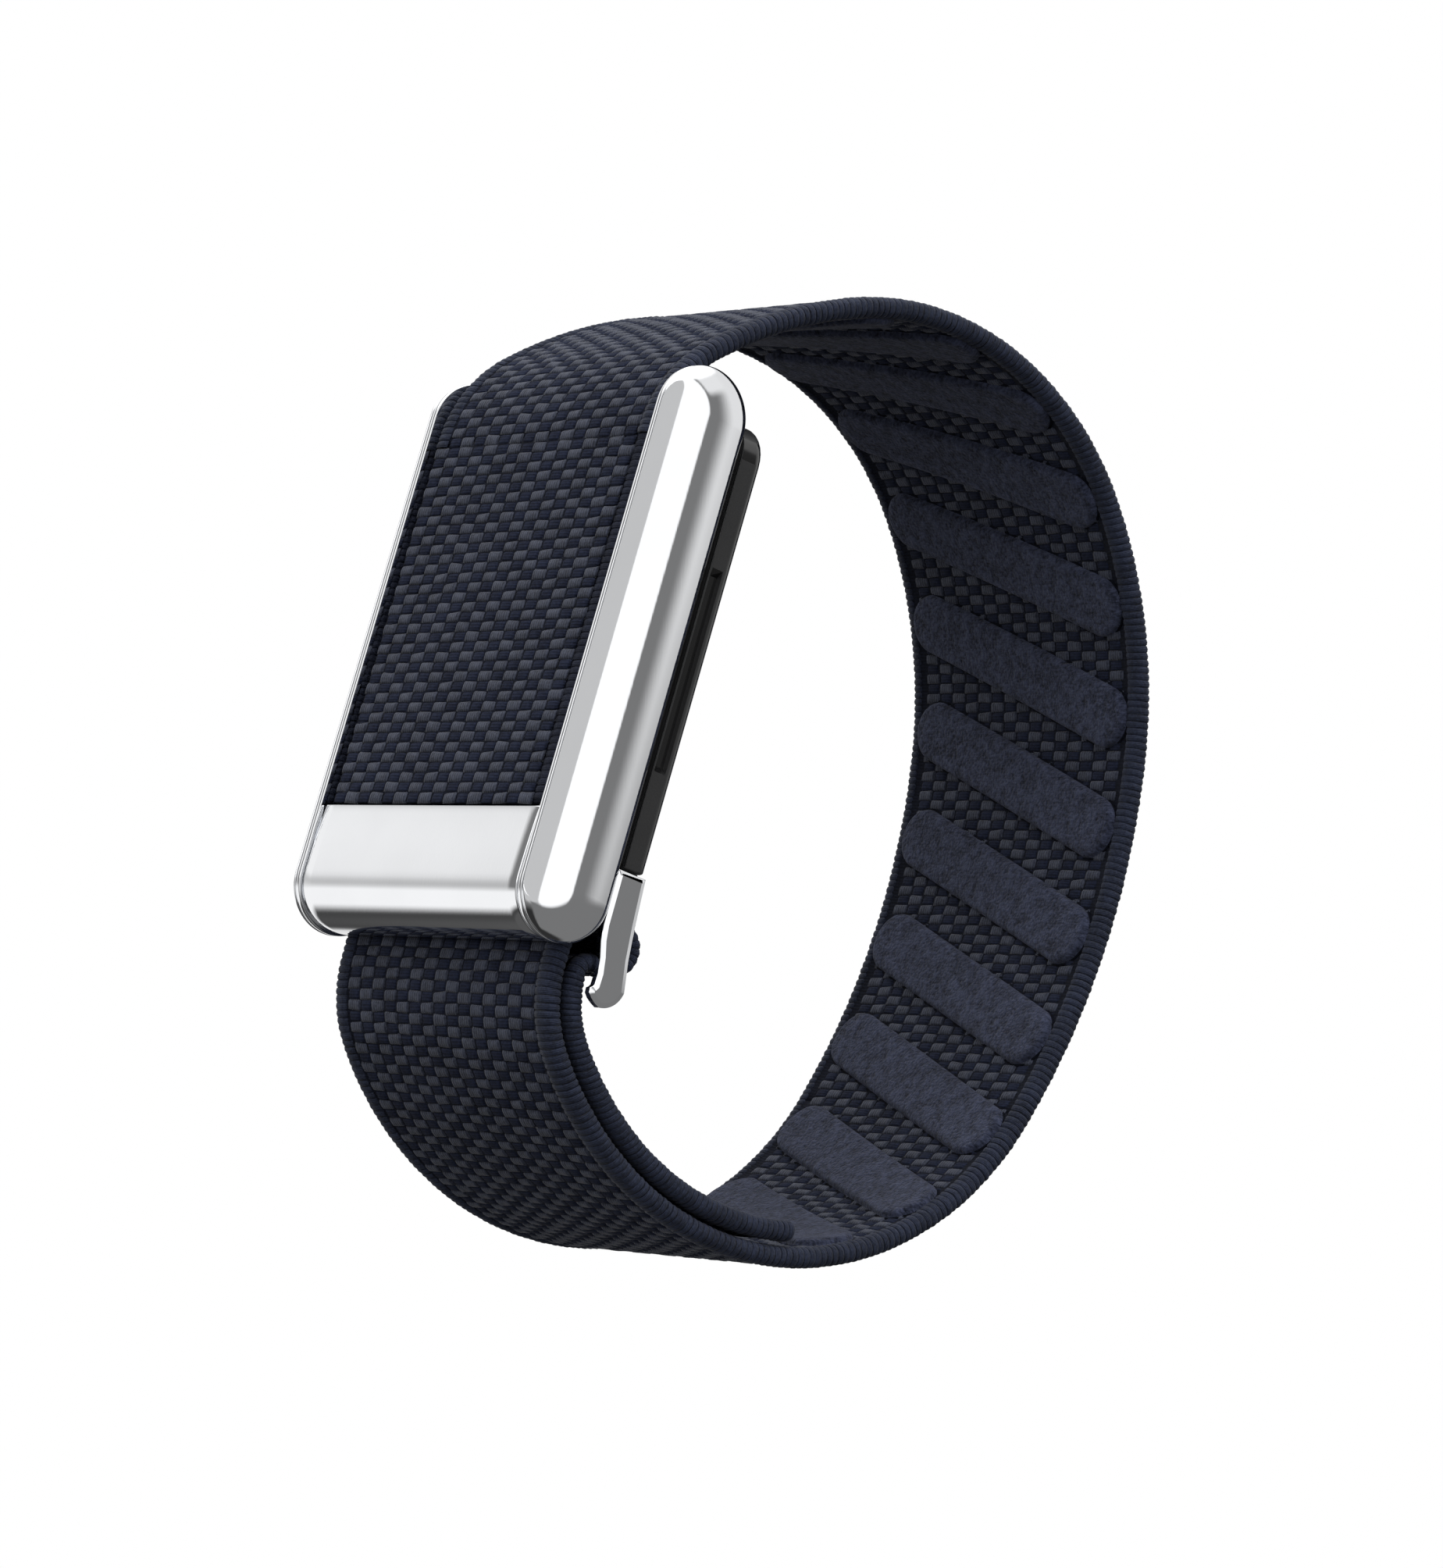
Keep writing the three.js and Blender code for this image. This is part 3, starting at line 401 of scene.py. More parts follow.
@dataclass(frozen=True)
class ClaspFrame:
    """Turns the clasp's own millimetres into the row frame's metres."""

    tilt: float
    shift_y: float
    shift_z: float

    @classmethod
    def from_joints(cls, joints: Sequence[dict[str, Any]], hinge: Pair) -> ClaspFrame:
        """Reads the lean from the pod's slide and the origin from the clasp's hinge.

        Args:
            joints: The frame's joints.
            hinge: The hinge's y and z in the clasp's frame.

        Returns:
            The frame that puts the hinge where its joint is.
        """
        by_name = {joint["name"]: joint for joint in joints}
        axis = by_name["pod_release"]["axis"]
        tilt = math.atan2(-axis[2], axis[1])
        at = by_name["clasp_hinge"]["pos_m"]
        y, z = hinge
        turned_y = y * math.cos(tilt) + z * math.sin(tilt)
        turned_z = z * math.cos(tilt) - y * math.sin(tilt)
        return cls(tilt, at[1] / MILLIMETRE - turned_y, at[2] / MILLIMETRE - turned_z)

    def place(self, points: Points) -> Points:
        """Returns points, one a row, in the row frame's metres."""
        x, y, z = np.asarray(points, float).T
        turned_y = y * math.cos(self.tilt) + z * math.sin(self.tilt) + self.shift_y
        turned_z = z * math.cos(self.tilt) - y * math.sin(self.tilt) + self.shift_z
        return stack(x, turned_y, turned_z) * MILLIMETRE

    def point(self, x: float, y: float, z: float) -> Vector:
        """Returns one point in the row frame's metres."""
        return Vector(self.place(np.array([[x, y, z]]))[0])


@dataclass
class Shell:
    """Points and faces of one closed form, in the clasp's millimetres."""

    points: Points
    faces: Faces
    finish: Finish
    weave: Points | None = None

    def flipped(self) -> Shell:
        """Returns the same form mirrored across the band."""
        mirrored = self.points * np.array([-1.0, 1.0, 1.0])
        return Shell(mirrored, turned(self.faces), self.finish, self.weave)

    def made(self, name: str, frame: ClaspFrame) -> Object:
        """Makes a Blender object of the form.

        Args:
            name: The object's name.
            frame: Where the clasp stands.

        Returns:
            A linked object at the origin, with its place in its mesh.
        """
        mesh = bpy.data.meshes.new(name)
        mesh.from_pydata(frame.place(self.points).tolist(), [], self.faces)
        mesh.materials.append(self.finish.material())
        mesh.shade_smooth()
        write_weave(mesh, self.points if self.weave is None else self.weave)
        return linked(name, mesh)


def linked(name: str, data: Any) -> Object:
    """Makes an object of some data and links it to the scene."""
    made = bpy.data.objects.new(name, data)
    bpy.context.scene.collection.objects.link(made)
    return made


def stand_in(piece: Object, body: Body, node: str) -> Object:
    """Lets a piece ride on a body and stand for a CAD node."""
    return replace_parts(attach(piece, body.value), node)


def stack(x: Any, y: Any, z: Any) -> Points:
    """Stacks coordinates as points, one a row; a single number stands for a whole column."""
    return np.column_stack(np.broadcast_arrays(x, y, z))


def turned(faces: Faces) -> Faces:
    """Turns faces over."""
    return [tuple(reversed(face)) for face in faces]


def write_weave(mesh: Mesh, weave: Points) -> None:
    """Stores each vertex's place on the flat strap, which the fabrics' materials read."""
    layer = mesh.attributes.get("weave") or mesh.attributes.new("weave", "FLOAT_VECTOR", "POINT")
    layer.data.foreach_set("vector", np.asarray(weave, np.float32).ravel())


def joined(name: str, parts: Sequence[Object]) -> Object:
    """Joins objects into the first one and gives it a name."""
    first = parts[0]
    if len(parts) > 1:
        chosen = {"active_object": first, "object": first}
        chosen |= dict.fromkeys(("selected_objects", "selected_editable_objects"), parts)
        with bpy.context.temp_override(**chosen):
            bpy.ops.object.join()
    first.name = name
    first.data.name = name
    return first


def loft(
    rings: Sequence[Points], finish: Finish, cap: Callable[[int], Faces] | None = None
) -> Shell:
    """Joins rings with equal counts and closes both ends.

    Args:
        rings: Each ring's points, from one end to the other, turning anticlockwise as seen
            from the side that the rings run towards.
        finish: The form's finish.
        cap: Gives a ring's closing faces for its count of points, or None for one face.

    Returns:
        A closed form with its faces outwards.
    """
    count = len(rings[0])
    faces: Faces = []
    for row in range(len(rings) - 1):
        low = row * count
        for k in range(count):
            after = (k + 1) % count
            faces.append((low + k, low + after, low + count + after, low + count + k))
    last = (len(rings) - 1) * count
    ends = cap(count) if cap else [tuple(range(count))]
    faces += turned(ends) + [tuple(last + k for k in face) for face in ends]
    return Shell(np.concatenate(rings), faces, finish)


def ladder(count: int) -> Faces:
    """Closes a long ring by faces across it, between mirrored points."""
    return [(i, i + 1, count - 2 - i, count - 1 - i) for i in range(count // 2 - 1)]


def inset(outline: Points, depth: float) -> Points:
    """Draws an anticlockwise outline in by a depth, along its points' own normals."""
    before = outline - np.roll(outline, 1, axis=0)
    after = np.roll(outline, -1, axis=0) - outline

    def unit(rows: Points) -> Points:
        """Scales each row to a length of one."""
        return rows / np.maximum(np.linalg.norm(rows, axis=1, keepdims=True), 1e-9)

    normals = [unit(np.column_stack((edge[:, 1], -edge[:, 0]))) for edge in (before, after)]
    middle = unit(normals[0] + normals[1])
    reach = np.clip(np.sum(middle * normals[0], axis=1, keepdims=True), 0.5, 1)
    return outline - middle * depth / reach


def arc(centre: Pair, radius: float, start: float, end: float, steps: int) -> list[Pair]:
    """Returns points of an arc between two angles in degrees."""
    angles = np.radians(np.linspace(start, end, steps + 1))
    return [(centre[0] + radius * math.cos(a), centre[1] + radius * math.sin(a)) for a in angles]


def across_band(outline: Points, stations: Iterable[Pair], finish: Finish) -> Shell:
    """Carries an anticlockwise (y, z) outline across the band.

    Args:
        outline: The section's points.
        stations: Each ring's x and how far it is drawn in, from low x to high x.
        finish: The form's finish.

    Returns:
        A closed form.
    """
    rings = []
    for x, depth in stations:
        drawn = inset(outline, depth) if depth else outline
        rings.append(stack(x, *drawn.T))
    return loft(rings, finish)


@dataclass(frozen=True)
class RoundedRect:
    """A rounded rectangle in x and z, whose lower corners may have their own radius."""

    half_width: float
    low: float
    high: float
    radius: float
    corner_steps: int = 8
    side_steps: int = 24
    low_radius: float | None = None

    def ring(self, y: float, draw_in: float = 0.0) -> Points:
        """Returns the outline at a depth y, anticlockwise as seen from the wrist side."""
        half = self.half_width - draw_in
        low = self.low + draw_in
        high = self.high - draw_in
        upper = max(self.radius - draw_in, 0.02)
        lower = upper if self.low_radius is None else max(self.low_radius - draw_in, 0.02)
        radii = [upper, upper, lower, lower]
        centres = [(half - upper, high - upper), (-half + upper, high - upper)]
        centres += [(-half + lower, low + lower), (half - lower, low + lower)]
        points: list[Pair] = []
        for k, centre in enumerate(centres):
            turn = 90 * k + 90
            points += arc(centre, radii[k], turn - 90, turn, self.corner_steps)
            following = (k + 1) % 4
            start = np.array(points[-1])
            end = np.array(arc(centres[following], radii[following], turn, turn, 0)[0])
            for share in np.linspace(0, 1, self.side_steps + 1)[1:-1]:
                points.append(tuple(start + (end - start) * share))
        x, z = np.array(points).T
        return stack(x, y, z)

    def rings(self, *levels: Pair) -> list[Points]:
        """Returns the outline at each depth y and how far it is drawn in there."""
        return [self.ring(y, draw_in) for y, draw_in in levels]


# ---- the strap's path


@dataclass(frozen=True)
class Run:
    """One stretch of the strap's path: straight, or an arc that turns by radians."""

    length: float = 0.0
    radius: float = 0.0
    turn: float = 0.0

    @property
    def span(self) -> float:
        """The stretch's length."""
        return self.radius * abs(self.turn) if self.radius else self.length


class StrapPath:
    """A path in (y, z) made of runs that meet tangentially; a positive turn is clockwise."""

    ARC_SHARE = 0.12

    def __init__(self, start: Pair, heading: float, runs: Sequence[Run], begin: float) -> None:
        """Lays the runs end to end.

        Args:
            start: The first point.
            heading: The first direction, in radians from +y towards +z.
            runs: The stretches.
            begin: The distance that the first point stands for.
        """
        self.runs = list(runs)
        self.marks = begin + np.concatenate(([0.0], np.cumsum([run.span for run in runs])))
        self.starts = [(start[0], start[1], heading)]
        for run in self.runs:
            y, z, direction = self.starts[-1]
            moved = self._advance(np.array([run.span]), run, y, z, direction)
            self.starts.append(tuple(float(value[0]) for value in moved))

    @staticmethod
    def _advance(
        distance: Points, run: Run, y: float, z: float, direction: float
    ) -> tuple[Points, ...]:
        """Returns y, z and direction after a distance along one run."""
        if not run.radius:
            ahead = np.full_like(distance, direction)
            return y + distance * math.cos(direction), z + distance * math.sin(direction), ahead
        sign = math.copysign(1.0, run.turn)
        after = direction - sign * distance / run.radius
        reach = sign * run.radius
        ahead_y = y + reach * (math.sin(direction) - np.sin(after))
        ahead_z = z + reach * (np.cos(after) - math.cos(direction))
        return ahead_y, ahead_z, after

    @property
    def end(self) -> float:
        """The distance at the path's end."""
        return float(self.marks[-1])

    def at(self, distance: Points, offset: Points) -> Points:
        """Returns the (y, z) points at distances and at offsets to the outer side."""
        distance = np.atleast_1d(np.asarray(distance, float))
        offset = np.broadcast_to(np.asarray(offset, float), distance.shape)
        which = np.searchsorted(self.marks, distance, side="right") - 1
        which = np.clip(which, 0, len(self.runs) - 1)
        points = np.empty((len(distance), 2))
        for k, run in enumerate(self.runs):
            chosen = which == k
            y, z, direction = self._advance(distance[chosen] - self.marks[k], run, *self.starts[k])
            points[chosen, 0] = y - offset[chosen] * np.sin(direction)
            points[chosen, 1] = z + offset[chosen] * np.cos(direction)
        return points

    def stations(self, start: float, stop: float, step: float) -> Points:
        """Returns distances between two places, closer together on tight arcs."""
        marks = [start]
        for k, run in enumerate(self.runs):
            low = max(self.marks[k], start)
            high = min(self.marks[k + 1], stop)
            if high - low < 1e-6:
                continue
            pace = min(step, self.ARC_SHARE * run.radius) if run.radius else step
            count = math.ceil((high - low) / pace)
            marks += [low + (high - low) * j / count for j in range(1, count + 1)]
        return np.array(marks)


@dataclass(frozen=True)
class Span:
    """One length of strap: its two ends along the path, its shift outwards and its edges."""

    start: float
    stop: float
    shift: float = 0.0
    flat_edge: bool = False

    def steps(self, pitch: float) -> tuple[int, int]:
        """Returns the first whole step of a pitch that falls in the length, and how many do."""
        first = math.ceil(self.start / pitch)
        return first, math.ceil(self.stop / pitch) - first


@dataclass(frozen=True)
class StrapPlan:
    """The strap's sizes and the places that its path is worked out from."""

    width: float = 24.5
    thickness: float = 1.4
    fold_thickness: float = 1.1
    layer_gap: float = 0.25
    panel_front: float = -21.0
    panel_top: float = 16.3
    panel_bottom: float = -8.45
    bar_radius: float = 0.55
    bar_y: float = -12.45
    bar_z: float = -15.25
    rise_shift: float = 0.25
    rise_straight: float = 2.1
    fold_corner: float = 1.5
    tail_corner: float = 1.0
    hinge_span: float = 11.4
    tail_end: float = 109.3
    tail_patch: float = 3.0

    @property
    def fold_radius(self) -> float:
        """The radius of the strap's middle where it goes round the hook's bar."""
        return self.bar_radius + self.layer_gap + self.fold_thickness / 2

    @property
    def rise_y(self) -> float:
        """Where the middle of the rising layer stands."""
        return self.bar_y - 2 * self.fold_radius - self.thickness + self.rise_shift

    @property
    def tail_shift(self) -> float:
        """How far the tail's middle lies inside the outer layer's."""
        return self.thickness + self.layer_gap

    def loop_runs(self) -> list[Run]:
        """Works out the loop's arcs, with the two free radii that close it on the hook."""
        half = self.thickness / 2
        given: list[tuple[float | None, float]] = [
            (10, 45), (34, 21), (21.2, 72), (32, 31), (None, 29), (None, 120.5), (9, 41.5),
        ]
        rise_start = self.bar_z + self.fold_radius - self.fold_corner - self.rise_straight
        gap = np.array([self.rise_y - (self.panel_front + half), rise_start - self.panel_top])
        direction = math.pi / 2
        units: list[Points] = []
        for radius, turn in given:
            after = direction - math.radians(turn)
            across = math.sin(direction) - math.sin(after)
            unit = np.array([across, math.cos(after) - math.cos(direction)])
            direction = after
            if radius is None:
                units.append(unit)
            else:
                gap -= (radius - half) * unit
        solved = iter(np.linalg.solve(np.array(units).T, gap))
        radii = [float(next(solved)) if radius is None else radius - half for radius, _ in given]
        turns = [math.radians(turn) for _, turn in given]
        return [Run(radius=radius, turn=turn) for radius, turn in zip(radii, turns)]

    def path(self) -> StrapPath:
        """Returns the whole strap's path, from the panel's foot to where the tail turns down."""
        quarter = math.pi / 2
        top_run = self.bar_y - (self.rise_y + self.fold_corner)
        tail_y = self.rise_y + self.tail_shift
        under_run = self.bar_y - (tail_y + self.tail_corner)
        panel = self.panel_top - self.panel_bottom
        runs = [Run(length=panel), *self.loop_runs(), Run(length=self.rise_straight)]
        runs += [Run(radius=self.fold_corner, turn=quarter), Run(length=top_run)]
        runs += [Run(radius=self.fold_radius, turn=2 * quarter), Run(length=under_run)]
        runs += [Run(radius=self.tail_corner, turn=-quarter)]
        start = (self.panel_front + self.thickness / 2, self.panel_bottom)
        return StrapPath(start, quarter, runs, -panel)


# ---- growing what repeats


class Grower:
    """A geometry node tree with named inputs that grows a repeated form."""

    def __init__(self, name: str, **inputs: Sequence[str]) -> None:
        """Starts the tree and its sockets.

        Args:
            name: The tree's name.
            **inputs: The inputs' names by the kind of their sockets.
        """
        self.tree = bpy.data.node_groups.new(name, "GeometryNodeTree")
        new_socket = self.tree.interface.new_socket
        for kind, labels in inputs.items():
            for label in labels:
                new_socket(label, in_out="INPUT", socket_type=f"NodeSocket{kind}")
        new_socket("Grown", in_out="OUTPUT", socket_type="NodeSocketGeometry")
        self.sheet = NodeSheet(self.tree)
        self.given = self.sheet.add("NodeGroupInput").outputs

    def scatter(self, points: Any, selection: Any, label: str, rotation: Any, scale: Any) -> Any:
        """Sets one form on the selected points and gives it its material.

        Args:
            points: The geometry whose points carry the form.
            selection: Which points do.
            label: The input's name of the form; its material's input is the name and Finish.
            rotation: Each form's turn.
            scale: Each form's scale.

        Returns:
            The realised geometry's socket.
        """
        form = self.sheet.add("GeometryNodeObjectInfo", {"Object": self.given[label]})
        inputs = {"Points": points, "Selection": selection, "Instance": form.outputs["Geometry"]}
        inputs |= {"Rotation": rotation, "Scale": scale}
        placed = self.sheet.add("GeometryNodeInstanceOnPoints", inputs).outputs[0]
        real = self.sheet.add("GeometryNodeRealizeInstances", {0: placed}).outputs[0]
        inputs = {"Geometry": real, "Material": self.given[f"{label} Finish"]}
        return self.sheet.add("GeometryNodeSetMaterial", inputs).outputs[0]

    def grid(self, columns: Any, width: Any, rows: Any, pitch: Any) -> tuple[NodeSocket, ...]:
        """Makes a grid of points.

        Args:
            columns: How many points it has across.
            width: Its whole width.
            rows: How many points it has along.
            pitch: The distance from row to row.

        Returns:
            The grid, each point's number and each point's column.
        """
        sheet = self.sheet
        long = sheet.math("MULTIPLY", sheet.math("SUBTRACT", rows, 1.0), pitch)
        inputs = {"Size X": width, "Size Y": long, "Vertices X": columns, "Vertices Y": rows}
        grid = sheet.add("GeometryNodeMeshGrid", inputs).outputs[0]
        index = sheet.add("GeometryNodeInputIndex").outputs[0]
        column = sheet.math("FLOOR", sheet.math("DIVIDE", sheet.math("ADD", index, 0.5), rows))
        return grid, index, column

    def vary(self, low: Any, high: Any) -> NodeSocket:
        """Draws each point's vector between two limits, by the input Seed."""
        values = {0: low, 1: high, 8: self.given["Seed"]}
        node = self.sheet.add("FunctionNodeRandomValue", values, data_type="FLOAT_VECTOR")
        return node.outputs[0]

    def close(self, *grown: Any) -> None:
        """Joins what has grown into the tree's output."""
        join = self.sheet.add("GeometryNodeJoinGeometry")
        for part in grown:
            self.tree.links.new(part, join.inputs[0])
        self.sheet.add("NodeGroupOutput", {0: join.outputs[0]})

    def grow(self, values: dict[str, Any]) -> Mesh:
        """Runs the tree once.

        Args:
            values: A value for every input.

        Returns:
            A plain mesh of what has grown.
        """
        host = linked("host", bpy.data.meshes.new("host"))
        modifier = host.modifiers.new("grow", "NODES")
        modifier.node_group = self.tree
        for item in self.tree.interface.items_tree:
            if item.in_out == "INPUT":
                modifier[item.identifier] = values[item.name]
        graph = bpy.context.evaluated_depsgraph_get()
        mesh = bpy.data.meshes.new_from_object(host.evaluated_get(graph), depsgraph=graph)
        host.modifiers.remove(modifier)
        bpy.data.objects.remove(host)
        return mesh


def pattern(name: str, points: Points, faces: Faces) -> Object:
    """Makes a small form for a grower to repeat, in plain millimetres."""
    mesh = bpy.data.meshes.new(name)
    mesh.from_pydata(points.tolist(), [], faces)
    mesh.materials.append(GROUND_YARN.material())
    mesh.shade_smooth()
    return linked(name, mesh)


def pillow(
    name: str, size: Pair, height: float, columns: int, rows: int, ridge: Pair, foot: float = -0.05
) -> Object:
    """Makes one knitted cell as a pillow of yarns.

    Args:
        name: The form's name.
        size: Its width across the band and length along it.
        height: How far it stands up.
        columns: Faces across.
        rows: Faces along.
        ridge: The height of the yarns that lie side by side across and along.
        foot: The height of its rim, a little below zero.

    Returns:
        A closed form.
    """
    points = []
    for i in range(columns + 1):
        for j in range(rows + 1):
            u = 2 * i / columns - 1
            v = 2 * j / rows - 1
            crown = (1 - abs(u) ** 5) ** 0.5 * (1 - abs(v) ** 3) ** 0.5
            yarn = ridge[0] * (-1) ** i + ridge[1] * (-1) ** j
            rise = foot + crown * (height - foot + yarn)
            points.append((u * size[0] / 2, v * size[1] / 2, rise))
    step = rows + 1
    faces = [
        (i * step + j, (i + 1) * step + j, (i + 1) * step + j + 1, i * step + j + 1)
        for i in range(columns)
        for j in range(rows)
    ]
    rim = [i * step for i in range(columns + 1)]
    rim += [columns * step + j for j in range(1, rows + 1)]
    rim += [i * step + rows for i in range(columns - 1, -1, -1)]
    rim += [j for j in range(rows - 1, 0, -1)]
    faces.append(tuple(reversed(rim)))
    return pattern(name, np.array(points), faces)


# ---- the strap


@dataclass
class Knit:
    """The strap's fabric: checkered cells on a ground cloth, with overlocked edges."""

    plan: StrapPlan
    frame: ClaspFrame
    cell_width: float = 1.4167
    row_height: float = 0.68
    columns: int = 15
    cell_height: float = 0.11
    sunk_height: float = 0.085
    ridge: float = 0.012
    ground: float = 0.5
    edge_start: float = 10.8
    inner_edge_start: float = 11.15
    edge_pitch: float = 0.46
    edge_rise: float = 0.085
    edge_lean: float = 0.1
    edge_scales: tuple[tuple[float, float, float], ...] = ((0.996, 0.9, 0.96), (1.0, 1.06, 1.0))
    cell_turn: float = 0.05
    looseness: float = 0.04
    flat_edge: float = 0.76
    flat_shift: float = -0.62
    cloth_step: float = 0.9
    cloth_inset: float = 0.02
    edge_round: float = 0.95
    edge_sink: float = 0.06
    edge_foot: float = 0.12
    rib_share: float = 0.53
    path: StrapPath = field(init=False)
    cells: Grower = field(init=False)
    edges: Grower = field(init=False)
    forms: dict[str, Object] = field(init=False)

    def __post_init__(self) -> None:
        """Works out the path and makes the growers and their forms."""
        self.path = self.plan.path()
        self.forms = {
            "raised": pillow(
                "raised_cell", (self.cell_width * 1.1, self.row_height * 1.18), self.cell_height,
                columns=10, rows=4, ridge=(self.ridge, 0.0),
            ),
            "sunk": pillow(
                "sunk_cell", (self.cell_width, self.row_height * 1.06), self.sunk_height,
                columns=4, rows=6, ridge=(0.0, self.ridge),
            ),
            "rib": self.rib_form(),
        }
        self.cells = self.cell_grower()
        self.edges = self.edge_grower()

    def edge_outline(self, grow: float, steps: int = 12) -> list[Pair]:
        """Returns the rolled edge's (x, n) outline, from the outer face round to the inner."""
        outer = self.plan.width / 2 + grow
        half = self.plan.thickness / 2 + grow - self.edge_sink
        middle = outer - self.edge_round - grow
        points = [(self.edge_start, half - self.edge_foot)]
        for angle in np.radians(np.linspace(90, -90, steps + 1)):
            c = math.copysign(abs(math.cos(angle)) ** 0.8, math.cos(angle))
            s = math.copysign(abs(math.sin(angle)) ** 0.85, math.sin(angle))
            points.append((middle + (outer - middle) * c, half * s))
        points.append((self.inner_edge_start, self.edge_foot - half))
        return points

    def rib_form(self) -> Object:
        """Makes one thread that wraps the strap's right edge."""
        section = [(-1.0, -0.25), (-0.75, 0.5), (0.0, 1.0), (0.75, 0.5), (1.0, -0.25)]
        low = self.edge_outline(0.0)
        high = self.edge_outline(self.edge_rise)
        points = []
        for (x0, n0), (x1, n1) in zip(low, high):
            for along, rise in section:
                x = x0 + (x1 - x0) * rise
                n = n0 + (n1 - n0) * rise
                points.append((x, along * self.edge_pitch * self.rib_share + self.edge_lean * n, n))
        count = len(section)
        faces = [
            (i * count + j, i * count + j + 1, (i + 1) * count + j + 1, (i + 1) * count + j)
            for i in range(len(low) - 1)
            for j in range(count - 1)
        ]
        for i in range(len(low) - 1):
            near, far = i * count, (i + 1) * count
            faces.append((far, far + count - 1, near + count - 1, near))
        last = (len(low) - 1) * count
        faces.append(tuple(reversed(range(count))))
        faces.append(tuple(last + j for j in range(count)))
        return pattern("edge_rib", np.array(points), faces)

    def cell_grower(self) -> Grower:
        """Builds the tree that sets raised and sunk cells like a checkerboard."""
        grower = Grower(
            "checkered_cells",
            Int=("Columns", "Rows", "First Row", "Seed"),
            Float=("Cell Width", "Row Height", "Looseness"),
            Object=("Raised", "Sunk"),
            Material=("Raised Finish", "Sunk Finish"),
        )
        sheet, given = grower.sheet, grower.given
        columns, rows = given["Columns"], given["Rows"]
        wide = sheet.math("MULTIPLY", sheet.math("SUBTRACT", columns, 1.0), given["Cell Width"])
        grid, index, column = grower.grid(columns, wide, rows, given["Row Height"])
        row = sheet.math("SUBTRACT", index, sheet.math("MULTIPLY", column, rows))
        place = sheet.math("ADD", sheet.math("ADD", column, row), given["First Row"])
        odd = sheet.math("FLOORED_MODULO", place, 2.0)
        even = sheet.math("SUBTRACT", 1.0, odd)
        low = sheet.math("SUBTRACT", 1.0, given["Looseness"])
        high = sheet.math("ADD", 1.0, given["Looseness"])
        limits = (
            sheet.add("ShaderNodeCombineXYZ", dict.fromkeys(range(3), limit)).outputs[0]
            for limit in (low, high)
        )
        scale = grower.vary(*limits)
        turn = grower.vary((-self.cell_turn,) * 3, (self.cell_turn,) * 3)
        grower.close(
            grower.scatter(grid, odd, "Raised", turn, scale),
            grower.scatter(grid, even, "Sunk", (0.0, 0.0, 0.0), (1.0, 1.0, 1.0)),
        )
        return grower

    def edge_grower(self) -> Grower:
        """Builds the tree that wraps both edges with threads."""
        grower = Grower(
            "overlocked_edges",
            Int=("Count", "Seed"), Float=("Pitch",), Object=("Rib",), Material=("Rib Finish",),
        )
        sheet, given = grower.sheet, grower.given
        grid, _, side = grower.grid(2, 0.0, given["Count"], given["Pitch"])
        turn = sheet.add("ShaderNodeCombineXYZ", {2: sheet.math("MULTIPLY", side, math.pi)})
        scale = grower.vary(*self.edge_scales)
        grower.close(grower.scatter(grid, True, "Rib", turn.outputs[0], scale))
        return grower

    def thinness(self, distance: Points) -> Points:
        """Returns the share of its thickness that the strap keeps, less round the hook's bar."""
        rise_start = self.path.marks[-6]
        share = np.clip((distance - rise_start) / self.plan.rise_straight, 0, 1)
        smooth = share * share * (3 - 2 * share)
        return 1 - smooth * (1 - self.plan.fold_thickness / self.plan.thickness)

    def bent(self, flat: Points, shift: float = 0.0) -> Points:
        """Bends points of the flat strap (x, along, height) onto the path.

        Args:
            flat: The points.
            shift: How far the layer lies from the path, outwards.

        Returns:
            Their places in the clasp's frame.
        """
        height = flat[:, 2] * self.thinness(flat[:, 1]) + shift
        return np.column_stack((flat[:, 0], self.path.at(flat[:, 1], height)))

    def cloth(self, span: Span) -> Object:
        """Makes the ground cloth of a length, with its rolled edges."""
        press = self.flat_edge if span.flat_edge else 1.0
        half = [(x, n * press) for x, n in self.edge_outline(-self.cloth_inset)]
        body = [(x, self.ground) for x in np.linspace(-self.edge_start, self.edge_start, 9)[1:-1]]
        section = body + half + [(-x, -n) for x, n in body + half]
        x, n = np.array(section[::-1]).T
        marks = self.path.stations(span.start, span.stop, self.cloth_step)
        shell = loft([stack(x, mark, n) for mark in marks], GROUND_YARN)
        placed = Shell(self.bent(shell.points, span.shift), shell.faces, GROUND_YARN, shell.points)
        return placed.made("cloth", self.frame)

    def dress(self, mesh: Mesh, middle: float, span: Span, scale: Pair, move: Pair) -> Object:
        """Bends a grown mesh onto the path.

        Args:
            mesh: What has grown, flat and round the origin.
            middle: Where along the path its middle goes.
            span: The length that it belongs to.
            scale: Its scale across the band and upwards.
            move: How far it moves across, after its scale, and upwards, before it.

        Returns:
            The object.
        """
        flat = np.empty(len(mesh.vertices) * 3)
        mesh.vertices.foreach_get("co", flat)
        flat = flat.reshape(-1, 3)
        flat[:, 0] = flat[:, 0] * scale[0] + move[0]
        flat[:, 1] += middle
        flat[:, 2] = (flat[:, 2] + move[1]) * scale[1]
        mesh.vertices.foreach_set("co", self.frame.place(self.bent(flat, span.shift)).ravel())
        write_weave(mesh, flat)
        mesh.shade_smooth()
        return linked("grown", mesh)

